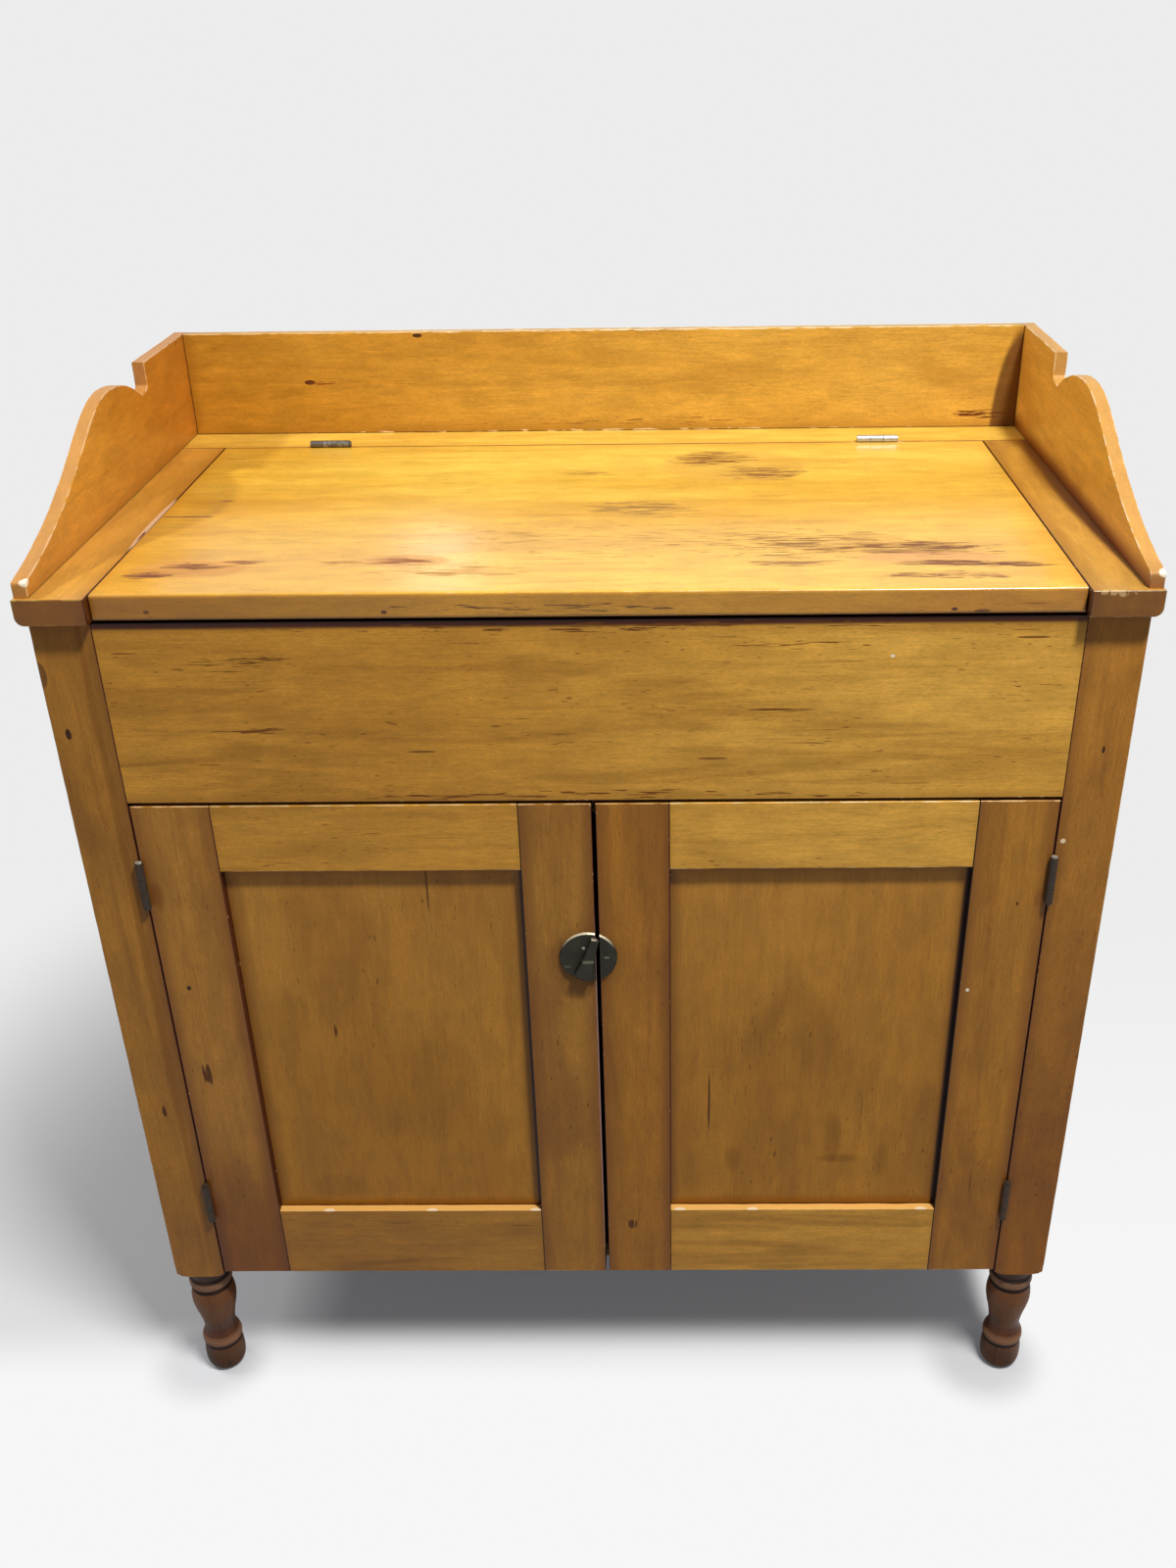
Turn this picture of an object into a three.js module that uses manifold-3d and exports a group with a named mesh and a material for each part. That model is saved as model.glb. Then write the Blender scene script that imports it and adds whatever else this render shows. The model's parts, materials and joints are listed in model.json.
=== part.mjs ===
// Dry sink cabinet: a lidded well over a two-door cupboard, on four turned feet.
// Millimetres, +Z up, X to the right, the front towards -Y.
// The origin is on the floor, under the middle of the cabinet.
import * as THREE from "three";
import { mergeVertices } from "three/addons/utils/BufferGeometryUtils.js";
import Module from "manifold-3d";

const wasm = await Module();
wasm.setup();

// Overall sizes
const caseWidth = 974; // across the outer faces of the posts
const caseDepth = 544; // front face of the front posts to the back
const topHeight = 974.5; // floor to the top surface
const topThickness = 24;
const frontOverhang = 14;
const sideOverhang = 4.8;
const postSize = 54.2;
const footHeight = 161.5; // turned length, floor to the square of the post
const shoulderHeight = 6; // rounded end of the square, from the middle of a face to its corners
const seat = 0.25; // clearance in each glued, nailed or let-in joint
const overrun = 2; // how far a cut runs past the face that it opens

// Sink front, rails and stub tenons
const sinkFrontHeight = 178;
const sinkFrontThickness = 22;
const sinkFrontDrop = 3; // dark line between the lid and the sink front
const tenonLength = 12;
const tenonShoulder = 5;
const railRise = 8.5; // bottom rails above the end of the post's square
const bottomRailThickness = 20;
const bottomRailWidth = 32;
const headRailHeight = 30;
const headRailThickness = 22;
const rearTopRailHeight = 30;
const sideTopRailHeight = 24;
const lidRestWidth = 14; // how far the side top rails reach under the lid

// Sides, floors, shelf and back
const sideThickness = 20;
const sideInset = 4; // side boards set in from the outer faces of the posts
const tongueDepth = 8;
const tongueThickness = 8;
const dadoDepth = 6;
const floorThickness = 18;
const sinkFloorThickness = 16;
const sinkFloorRise = 5.5; // underside of the sink floor above the edge of its front
const shelfThickness = 16;
const shelfSetback = 6; // shelf behind the front posts
const shelfHeightShare = 0.48; // of the height from cupboard floor to sink floor
const backThickness = 12;
const backInset = 2;
const backBoardCount = 3;
const backLap = 8;

// Top, lid and gallery
const stripWidth = 74; // fixed board behind the lid
const lidFrontSetback = 10.4; // lid behind the front edges of the side boards
const lidSideGap = 0.9;
const sideBoardWidth = 62.4; // fixed boards at each side of the lid
const lidEdgeRadius = 3.5;
const sideBoardRadius = 8; // rounded lower outer edge
const battenWidth = 42;
const battenThickness = 18;
const battenEndGap = 45; // batten ends to the front and back edges of the lid
const battenPlaceShare = 0.34; // of the lid's width, from its middle
const backsplashThickness = 13;
const galleryThickness = 13.2;
const galleryInset = 1.4; // gallery boards in from the edges of the top
const galleryHeight = 113.4;
const galleryFrontInset = 5;
const galleryRearLength = 158; // full-height part, from the back
const galleryStepHeight = 91; // foot of the upright step
const notchHeight = 84.5;
const notchLength = 22;
const humpHeight = 111;
const humpPlace = 279; // from the front end of the gallery board
const sweepHeight = 76.5; // where the hump turns into the long sweep
const sweepPlace = 181;
const noseHeight = 14.5;
const noseRadius = 4;
const humpSlopeShare = 0.61; // rise to run where the hump leaves the notch
const sweepSlopeShare = 0.53;
const noseSlopeShare = 0.18;
const curveHandleShare = 0.35; // of a curve's run

// Doors
const doorThickness = 22;
const doorStopGap = 0.6; // back of the doors to the rails that stop them
const doorHeadGap = 3.5;
const doorFootRise = 8.5; // door bottoms above the end of the post's square
const hingeSideGap = 1.2;
const meetingGap = 3.9;
const hingeStileWidth = 74;
const lockStileWidth = 68.7;
const doorTopRailHeight = 71.3;
const doorBottomRailHeight = 91.4;
const panelRecess = 9.4;
const panelThickness = 7;
const panelTongue = 9; // how far panel and rails enter the groove

// Butt hinges
const barrelRadius = 3.9;
const barrelProud = 3.6; // hinge axis in front of the wood
const barrelSideCount = 18;
const knuckleCount = 3;
const pinRadius = 1.6;
const pinHeadRadius = 3;
const pinHeadHeight = 1.5;
const pinClearance = 0.3;
const knuckleGap = 0.4;
const leafThickness = 1.6;
const leafGap = 0.8; // between the two leaves of a closed hinge
const doorHingeLength = 50;
const doorLeafReach = 19; // let into the edge of the door
const upperHingeDrop = 84.5; // door top to the middle of its upper hinge
const lowerHingeRise = 106.5;
const lidHingeLength = 44;
const lidLeafFloor = 4; // wood left below the lid's hinge leaves
const lidHingeInset = 119.5; // from the end of the lid to the middle of the hinge

// Turn latch
const latchRadius = 28.4;
const latchOffset = 9.2; // spindle to the middle of the meeting gap
const latchRise = 426; // door bottom to the spindle
const latchThickness = 3.4;
const latchRim = 1.5;
const latchBevel = 1.8;
const latchSideCount = 40;
const pocketRadius = 23.5;
const pocketDepth = 2.1;
const tongueReach = 21.5;
const tongueHalfWidth = 5;
const latchTongueThickness = 1.5;
const spindleRadius = 3.4;
const latchClearance = 0.3;
const handleTop = 25; // spindle to the narrow upper end of the handle
const handleBottom = 21;
const handleTopHalfWidth = 3.9;
const handleMiddleHalfWidth = 5.4;
const handleBottomHalfWidth = 9;
const handleReach = 13.4; // ridge of the handle in front of the door
const handleTopReach = 8.2;
const handleBottomReach = 10;
const handleTilt = THREE.MathUtils.degToRad(17);

// Turned foot, smooth stretches that meet at grooves and edges.
// Each point is a share of half the post and a share of the foot's height.
const footShares = {
  ball: [[0.406, 0], [0.7, 0.022], [0.82, 0.078], [0.83, 0.15], [0.8, 0.205], [0.74, 0.24]],
  ring: [[0.74, 0.24], [0.79, 0.252], [0.83, 0.28], [0.8, 0.312], [0.7, 0.342], [0.65, 0.385]],
  vase: [
    [0.65, 0.385], [0.66, 0.43], [0.75, 0.525], [0.87, 0.615],
    [0.915, 0.68], [0.88, 0.75], [0.77, 0.808],
  ],
  bead: [[0.77, 0.808], [0.85, 0.822], [0.89, 0.85], [0.865, 0.88], [0.8, 0.898]],
  cove: [[0.8, 0.898], [0.81, 0.925], [0.87, 0.965], [0.96, 1]],
};
const footSideCount = 24;
const footStepCount = 5;
const shoulderStepCount = 5;
const arcStepCount = 6;
const curveStepCount = 10;

// Levels above the floor
const underTop = topHeight - topThickness;
const carcassTop = underTop - seat;
const sinkFrontTop = underTop - sinkFrontDrop;
const sinkFrontBottom = sinkFrontTop - sinkFrontHeight;
const doorTop = sinkFrontBottom - doorHeadGap;
const doorBottom = footHeight + doorFootRise;
const carcassBottom = footHeight + railRise;
const floorTop = carcassBottom + bottomRailThickness;
const sinkFloorBottom = sinkFrontBottom + sinkFloorRise;
const shelfBottom = floorTop + (sinkFloorBottom - floorTop) * shelfHeightShare;

// Places from the middle, and from the front face of the posts
const halfCase = caseWidth / 2;
const halfOpening = halfCase - postSize;
const halfTop = halfCase + sideOverhang;
const sideInner = halfCase - sideInset - sideThickness;
const rearPostFront = caseDepth - postSize;
const backFront = caseDepth - backInset - backThickness;
const doorBack = doorThickness + doorStopGap;
const stripFront = caseDepth - stripWidth;
const sideBoardInner = halfTop - sideBoardWidth;
const lidHalf = sideBoardInner - lidSideGap;
const lidFront = lidFrontSetback - frontOverhang;
const lidBack = stripFront - hingeSideGap;
const lidAxisY = stripFront - hingeSideGap / 2;
const doorAxisX = halfOpening - hingeSideGap / 2;
const leafOuter = leafGap / 2 + leafThickness;

// Finishes
const finishes = {
  caseWood: { color: 0xa8702b, roughness: 0.45, metalness: 0 },
  frontWood: { color: 0xb98d3a, roughness: 0.42, metalness: 0 },
  lidWood: { color: 0xe2ae49, roughness: 0.4, metalness: 0 },
  doorWood: { color: 0xa56c2c, roughness: 0.45, metalness: 0 },
  panelWood: { color: 0xae7a36, roughness: 0.45, metalness: 0 },
  insideWood: { color: 0x9c7a4b, roughness: 0.8, metalness: 0 },
  hingeIron: { color: 0x4a4238, roughness: 0.55, metalness: 0.8 },
  latchMetal: { color: 0x3b382b, roughness: 0.45, metalness: 0.8 },
};
const materials = Object.fromEntries(
  Object.entries(finishes).map(([name, finish]) => [name, new THREE.MeshStandardMaterial(finish)]),
);

// A closed geometry as a solid, with its shared vertices merged
function solid(geometry) {
  geometry.deleteAttribute("normal");
  geometry.deleteAttribute("uv");
  const merged = mergeVertices(geometry);
  const corners = [];
  for (let i = 0; i < merged.index.count; i += 3) {
    const [a, b, c] = [0, 1, 2].map((k) => merged.index.getX(i + k));
    if (a !== b && b !== c && c !== a) corners.push(a, b, c);
  }
  const vertProperties = merged.attributes.position.array;
  const triVerts = new Uint32Array(corners);
  return new wasm.Manifold(new wasm.Mesh({ numProp: 3, vertProperties, triVerts }));
}

// A named mesh from a solid
function piece(name, body, material) {
  const mesh = body.getMesh();
  const geometry = new THREE.BufferGeometry();
  geometry.setAttribute("position", new THREE.BufferAttribute(new Float32Array(mesh.vertProperties), 3));
  geometry.setIndex(new THREE.BufferAttribute(new Uint32Array(mesh.triVerts), 1));
  const flat = geometry.toNonIndexed();
  flat.computeVertexNormals();
  const made = new THREE.Mesh(flat, material);
  made.name = name;
  return made;
}

// A block from its spans along x, y and z
function block(spans) {
  const size = spans.map(([low, high]) => high - low);
  const middle = spans.map(([low, high]) => (low + high) / 2);
  return solid(new THREE.BoxGeometry(...size).translate(...middle));
}

// The same spans, wider by the given amount at both ends of each
function grown(spans, by) {
  return spans.map(([low, high]) => [low - by, high + by]);
}

// Two distances on one side of the middle as a span, low end first
function sideSpan(side, near, far) {
  return [side * near, side * far].sort((a, b) => a - b);
}

// A shape drawn across the given axis, drawn out along it: (y, z) along x, (x, z) along y, (x, y) along z
function prism(axis, shape, [from, to], curveSegments = arcStepCount) {
  const options = { depth: to - from, bevelEnabled: false, curveSegments };
  const geometry = new THREE.ExtrudeGeometry(shape, options);
  if (axis === "x") geometry.rotateX(Math.PI / 2).rotateZ(Math.PI / 2).translate(from, 0, 0);
  if (axis === "y") geometry.rotateX(Math.PI / 2).translate(0, to, 0);
  if (axis === "z") geometry.translate(0, 0, from);
  return solid(geometry);
}

// A rectangle with a radius at each corner: low-low, high-low, high-high, low-high
function rectangle([a0, a1], [b0, b1], radii) {
  const shape = new THREE.Shape();
  const corners = [[a0, b0], [a1, b0], [a1, b1], [a0, b1]];
  corners.forEach(([a, b], i) => {
    const radius = radii[i];
    const turn = Math.PI + (i * Math.PI) / 2;
    const centre = [a + (a === a0 ? radius : -radius), b + (b === b0 ? radius : -radius)];
    const start = [centre[0] + radius * Math.cos(turn), centre[1] + radius * Math.sin(turn)];
    if (i === 0) shape.moveTo(...start);
    else shape.lineTo(...start);
    if (radius > 0) shape.absarc(...centre, radius, turn, turn + Math.PI / 2);
  });
  shape.closePath();
  return shape;
}

// An outline through the given points
function outline(points) {
  return new THREE.Shape(points.map(([a, b]) => new THREE.Vector2(a, b)));
}

// An upright round bar between two levels on the z axis
function bar(radius, [from, to], sides = barrelSideCount) {
  const geometry = new THREE.CylinderGeometry(radius, radius, to - from, sides);
  return solid(geometry.rotateX(Math.PI / 2).translate(0, 0, (from + to) / 2));
}

// Front, middle and rear rails: the spans of their faces between the posts
function railSpans() {
  const across = [seat - halfOpening, halfOpening - seat];
  const rearDepth = [backFront - seat - bottomRailWidth, backFront - seat];
  const headTop = sinkFloorBottom - seat;
  return {
    sinkFront: [across, [0, sinkFrontThickness], [sinkFrontBottom, sinkFrontTop]],
    headRail: [across, [doorBack, doorBack + headRailThickness], [headTop - headRailHeight, headTop]],
    frontBottom: [across, [doorBack, doorBack + bottomRailWidth], [carcassBottom, floorTop]],
    rearBottom: [across, rearDepth, [carcassBottom, floorTop]],
    rearTop: [across, rearDepth, [carcassTop - rearTopRailHeight, carcassTop]],
  };
}

// The stub tenons at both ends of a rail, as one block that runs through it
function tenonSpans([x, y, z]) {
  const inset = ([low, high]) => [low + tenonShoulder, high - tenonShoulder];
  return [[x[0] - tenonLength, x[1] + tenonLength], inset(y), inset(z)];
}

// The places of the six butt hinges
function hingePlaces() {
  const levels = { upper: doorTop - upperHingeDrop, lower: doorBottom + lowerHingeRise };
  const places = { doors: [], lid: [] };
  for (const [hand, side] of [["left", -1], ["right", 1]]) {
    for (const [level, z] of Object.entries(levels)) {
      places.doors.push({ name: `${hand}_door_${level}_hinge`, side, x: side * doorAxisX, z });
    }
    places.lid.push({ name: `lid_${hand}_hinge`, x: side * (lidHalf - lidHingeInset) });
  }
  return places;
}

// The recess for both leaves of a door hinge
function doorHingeRecess({ x, z }) {
  const half = doorHingeLength / 2 + seat;
  const reach = leafOuter + seat;
  return block([[x - reach, x + reach], [-overrun, doorLeafReach + seat], [z - half, z + half]]);
}

// The recess for both leaves of a lid hinge
function lidHingeRecess({ x }) {
  const half = lidHingeLength / 2 + seat;
  const reach = leafOuter + seat;
  const bottom = underTop + lidLeafFloor - seat;
  return block([[x - half, x + half], [lidAxisY - reach, lidAxisY + reach], [bottom, topHeight + overrun]]);
}

// A post turned on the z axis: the foot, the rounded shoulder and a blank wider than the square
function turnedPost() {
  const profile = [new THREE.Vector2(0, 0)];
  for (const stretch of Object.values(footShares)) {
    const points = stretch.map(([r, h]) => new THREE.Vector2((r * postSize) / 2, h * footHeight));
    profile.push(...new THREE.SplineCurve(points).getPoints(footStepCount));
  }
  const inner = profile[profile.length - 1].x;
  const outer = postSize * Math.SQRT1_2 + overrun;
  for (let i = 1; i <= shoulderStepCount; i++) {
    const angle = (Math.PI / 2) * (i / shoulderStepCount);
    const rise = shoulderHeight * (1 - Math.cos(angle));
    profile.push(new THREE.Vector2(inner + (outer - inner) * Math.sin(angle), footHeight + rise));
  }
  profile.push(new THREE.Vector2(outer, carcassTop), new THREE.Vector2(0, carcassTop));
  return solid(new THREE.LatheGeometry(profile, footSideCount).rotateX(Math.PI / 2));
}

// A corner post cut from its square blank, grooved for the side board and mortised for the rails
function post(side, front) {
  const x = sideSpan(side, halfOpening, halfCase);
  const y = front ? [0, postSize] : [rearPostFront, caseDepth];
  const middle = [(x[0] + x[1]) / 2, (y[0] + y[1]) / 2];
  const shift = new THREE.Matrix4().makeTranslation(middle[0], middle[1], 0);
  const turned = solid(piece("turned", turnedPost()).geometry.applyMatrix4(shift));
  let made = turned.intersect(block([x, y, [-overrun, carcassTop + overrun]]));
  const board = sideBoardSpans(side);
  const tongueX = tongueSpan(side);
  const grooveZ = [carcassBottom - seat, carcassTop + overrun];
  made = made.subtract(block([...grown([tongueX, board[1]], seat), grooveZ]));
  for (const rail of Object.values(railSpans())) made = made.subtract(block(grown(tenonSpans(rail), seat)));
  if (front) {
    for (const hinge of hingePlaces().doors) made = made.subtract(doorHingeRecess(hinge));
  }
  return made;
}

// A side board between its posts, with the tongues that enter them
function sideBoardSpans(side) {
  const y = [postSize - tongueDepth, rearPostFront + tongueDepth];
  return [sideSpan(side, sideInner, sideInner + sideThickness), y, [carcassBottom, carcassTop]];
}

// The tongue's place in the thickness of a side board
function tongueSpan(side) {
  const near = sideInner + (sideThickness - tongueThickness) / 2;
  return sideSpan(side, near, near + tongueThickness);
}

function sideBoard(side) {
  const [x, y, z] = sideBoardSpans(side);
  const tongue = tongueSpan(side);
  const face = [postSize + seat, rearPostFront - seat];
  let made = block([x, face, z]).add(block([tongue, y, z]));
  for (const board of Object.values(floorSpans())) {
    made = made.subtract(block([sideSpan(side, 0, sideInner + dadoDepth), y, grown([board.z], seat)[0]]));
  }
  return made;
}

// Sink floor, shelf and cupboard floor, housed in the side boards
function floorSpans() {
  return {
    sinkFloor: {
      y: [sinkFrontThickness + seat, backFront - seat],
      z: [sinkFloorBottom, sinkFloorBottom + sinkFloorThickness],
    },
    shelf: {
      y: [postSize + shelfSetback, backFront - seat],
      z: [shelfBottom, shelfBottom + shelfThickness],
    },
    floor: {
      y: [doorBack + bottomRailWidth + seat, backFront - 2 * seat - bottomRailWidth],
      z: [floorTop - floorThickness, floorTop],
    },
  };
}

// A floor or shelf: it reaches into the dados and is notched round the posts
function floorBoard({ y, z }) {
  const reach = sideInner + dadoDepth - seat;
  let made = block([[-reach, reach], y, z]);
  for (const side of [-1, 1]) {
    const x = sideSpan(side, halfOpening - seat, halfCase);
    const level = [z[0] - overrun, z[1] + overrun];
    made = made.subtract(block([x, [-overrun, postSize + 2 * seat], level]));
    made = made.subtract(block([x, [rearPostFront - 2 * seat, caseDepth], level]));
  }
  return made;
}

function rail(spans) {
  return block(spans).add(block(tenonSpans(spans)));
}

// One back board, half-lapped over its neighbour
function backBoard(index) {
  const width = (2 * (halfOpening - seat)) / backBoardCount;
  const left = seat - halfOpening + index * width;
  const right = left + width - seat;
  const [front, back] = [backFront, backFront + backThickness];
  const middle = (front + back) / 2;
  const lap = index < backBoardCount - 1 ? backLap : 0;
  const lapped = index > 0 ? backLap + seat : 0;
  const points = [[left, middle], [left, back], [right, back], [right, middle - seat / 2]];
  if (lap) points.push([right + lap, middle - seat / 2], [right + lap, front]);
  else points.push([right, front]);
  if (lapped) points.push([left + lapped, front], [left + lapped, middle]);
  else points.push([left, front]);
  return prism("z", outline(points), [carcassBottom, carcassTop]);
}

// Under the top at each side, carrying the fixed board and the end of the lid
function sideTopRail(side) {
  const x = sideSpan(side, lidHalf - lidRestWidth, sideInner - seat);
  return block([x, [postSize + seat, rearPostFront - seat], [carcassTop - sideTopRailHeight, carcassTop]]);
}

function topRearStrip() {
  let made = block([[-halfTop, halfTop], [stripFront, caseDepth], [underTop, topHeight]]);
  for (const hinge of hingePlaces().lid) made = made.subtract(lidHingeRecess(hinge));
  return made;
}

function topSideBoard(side) {
  const x = sideSpan(side, sideBoardInner, halfTop);
  const radii = side < 0 ? [sideBoardRadius, 0, 0, 0] : [0, sideBoardRadius, 0, 0];
  return prism("y", rectangle(x, [underTop, topHeight], radii), [-frontOverhang, stripFront - seat]);
}

function backsplash() {
  const reach = halfTop - galleryInset - galleryThickness - seat;
  const y = [caseDepth - backsplashThickness, caseDepth];
  return block([[-reach, reach], y, [topHeight + seat, topHeight + galleryHeight]]);
}

// A curve between two points that leaves and arrives at the given slopes
function flowTo(shape, from, slopeFrom, to, slopeTo) {
  const run = (to[0] - from[0]) * curveHandleShare;
  shape.bezierCurveTo(from[0] + run, from[1] + slopeFrom * run, to[0] - run, to[1] - slopeTo * run, ...to);
}

// A gallery board: full height at the back, an upright step, a notch, a hump and a long sweep to the front
function galleryBoard(side) {
  const front = galleryFrontInset - frontOverhang;
  const bottom = topHeight + seat;
  const at = (place, height) => [front + place, topHeight + height];
  const step = caseDepth - galleryRearLength;
  const notch = [step - notchLength, topHeight + notchHeight];
  const hump = at(humpPlace, humpHeight);
  const sweep = at(sweepPlace, sweepHeight);
  const nose = at(noseRadius, noseHeight);
  const shape = new THREE.Shape();
  shape.moveTo(front, bottom);
  shape.lineTo(caseDepth, bottom);
  shape.lineTo(caseDepth, topHeight + galleryHeight);
  shape.lineTo(step, topHeight + galleryHeight);
  shape.lineTo(step, topHeight + galleryStepHeight);
  shape.quadraticCurveTo(step, topHeight + notchHeight, ...notch);
  flowTo(shape, notch, -humpSlopeShare, hump, 0);
  flowTo(shape, hump, 0, sweep, sweepSlopeShare);
  flowTo(shape, sweep, sweepSlopeShare, nose, noseSlopeShare);
  shape.quadraticCurveTo(front, topHeight + noseHeight, ...at(0, noseHeight - noseRadius));
  shape.closePath();
  const outer = halfTop - galleryInset;
  return prism("x", shape, sideSpan(side, outer - galleryThickness, outer), curveStepCount);
}

// The case: everything that stays still
function makeCase() {
  const group = new THREE.Group();
  const rails = railSpans();
  const floors = floorSpans();
  for (const [hand, side] of [["left", -1], ["right", 1]]) {
    group.add(piece(`front_${hand}_post`, post(side, true), materials.caseWood));
    group.add(piece(`rear_${hand}_post`, post(side, false), materials.caseWood));
    group.add(piece(`${hand}_side_board`, sideBoard(side), materials.caseWood));
    group.add(piece(`${hand}_top_rail`, sideTopRail(side), materials.insideWood));
    group.add(piece(`top_${hand}_board`, topSideBoard(side), materials.caseWood));
    group.add(piece(`${hand}_gallery_board`, galleryBoard(side), materials.caseWood));
  }
  group.add(piece("sink_front_board", rail(rails.sinkFront), materials.frontWood));
  group.add(piece("door_head_rail", rail(rails.headRail), materials.insideWood));
  group.add(piece("front_bottom_rail", rail(rails.frontBottom), materials.caseWood));
  group.add(piece("rear_bottom_rail", rail(rails.rearBottom), materials.insideWood));
  group.add(piece("rear_top_rail", rail(rails.rearTop), materials.insideWood));
  group.add(piece("sink_floor", floorBoard(floors.sinkFloor), materials.insideWood));
  group.add(piece("cupboard_shelf", floorBoard(floors.shelf), materials.insideWood));
  group.add(piece("cupboard_floor", floorBoard(floors.floor), materials.insideWood));
  for (let i = 0; i < backBoardCount; i++) {
    group.add(piece(`back_board_${i + 1}`, backBoard(i), materials.insideWood));
  }
  group.add(piece("top_rear_strip", topRearStrip(), materials.lidWood));
  group.add(piece("backsplash", backsplash(), materials.caseWood));
  return group;
}

// The knuckles along a barrel, as spans on its axis
function knuckles(length) {
  const pitch = length / knuckleCount;
  const spans = [];
  for (let i = 0; i < knuckleCount; i++) {
    const low = i * pitch - length / 2 + (i === 0 ? 0 : knuckleGap / 2);
    const high = (i + 1) * pitch - length / 2 - (i === knuckleCount - 1 ? 0 : knuckleGap / 2);
    spans.push([low, high]);
  }
  return spans;
}

// A hinge leaf, axis on z, on the given side and reaching along y. The fixed leaf has the outer knuckles.
function hingeLeaf(side, length, reach, fixed) {
  const x = sideSpan(side, leafGap / 2, leafOuter);
  const free = barrelRadius + knuckleGap;
  let made = block([x, [free, reach], [-length / 2, length / 2]]);
  for (const span of knuckles(length).filter((_, i) => (i % 2 === 0) === fixed)) {
    made = made.add(bar(barrelRadius, span)).add(block([x, [0, free + knuckleGap], span]));
  }
  return made.subtract(bar(pinRadius + pinClearance, [-length, length]));
}

// A hinge pin with its round head
function hingePin(length) {
  const top = length / 2 + knuckleGap;
  const head = bar(pinHeadRadius, [top, top + pinHeadHeight]);
  return bar(pinRadius, [-length / 2, top + pinHeadHeight / 2]).add(head);
}

// The hinges: fixed leaves and pins go to the case, the others to what swings
function makeHinges(bodies) {
  const doorReach = barrelProud + doorLeafReach;
  for (const { name, side, x, z } of hingePlaces().doors) {
    const postLeaf = hingeLeaf(side, doorHingeLength, doorReach, true);
    const doorLeaf = hingeLeaf(-side, doorHingeLength, doorReach, false);
    const fixed = piece(`${name}_post_leaf`, postLeaf, materials.hingeIron);
    const moving = piece(`${name}_door_leaf`, doorLeaf, materials.hingeIron);
    const pin = piece(`${name}_pin`, hingePin(doorHingeLength), materials.hingeIron);
    for (const part of [fixed, moving, pin]) part.position.set(x, -barrelProud, z);
    bodies.fixed.add(fixed, pin);
    (side < 0 ? bodies.leftDoor : bodies.rightDoor).add(moving);
  }
  const lidReach = barrelProud + topThickness - lidLeafFloor;
  const down = new THREE.Matrix4().makeBasis(
    new THREE.Vector3(0, -1, 0),
    new THREE.Vector3(0, 0, -1),
    new THREE.Vector3(1, 0, 0),
  );
  for (const { name, x } of hingePlaces().lid) {
    const stripLeaf = hingeLeaf(-1, lidHingeLength, lidReach, true);
    const lidLeaf = hingeLeaf(1, lidHingeLength, lidReach, false);
    const fixed = piece(`${name}_strip_leaf`, stripLeaf, materials.hingeIron);
    const moving = piece(`${name}_lid_leaf`, lidLeaf, materials.hingeIron);
    const pin = piece(`${name}_pin`, hingePin(lidHingeLength), materials.hingeIron);
    for (const part of [fixed, moving, pin]) {
      part.applyMatrix4(down);
      part.position.set(x, lidAxisY, topHeight + barrelProud);
    }
    bodies.fixed.add(fixed, pin);
    bodies.lid.add(moving);
  }
}

// The lid board with rounded front edges, and two battens that keep it flat
function makeLid() {
  const group = new THREE.Group();
  const section = rectangle([lidFront, lidBack], [underTop, topHeight], [lidEdgeRadius, 0, 0, lidEdgeRadius]);
  let board = prism("x", section, [-lidHalf, lidHalf]);
  for (const hinge of hingePlaces().lid) board = board.subtract(lidHingeRecess(hinge));
  group.add(piece("lid_board", board, materials.lidWood));
  for (const [hand, side] of [["left", -1], ["right", 1]]) {
    const centre = side * 2 * lidHalf * battenPlaceShare;
    const x = [centre - battenWidth / 2, centre + battenWidth / 2];
    const y = [lidFront + battenEndGap, lidBack - battenEndGap];
    const batten = block([x, y, [underTop - seat - battenThickness, underTop - seat]]);
    group.add(piece(`${hand}_lid_batten`, batten, materials.insideWood));
  }
  return group;
}

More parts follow.
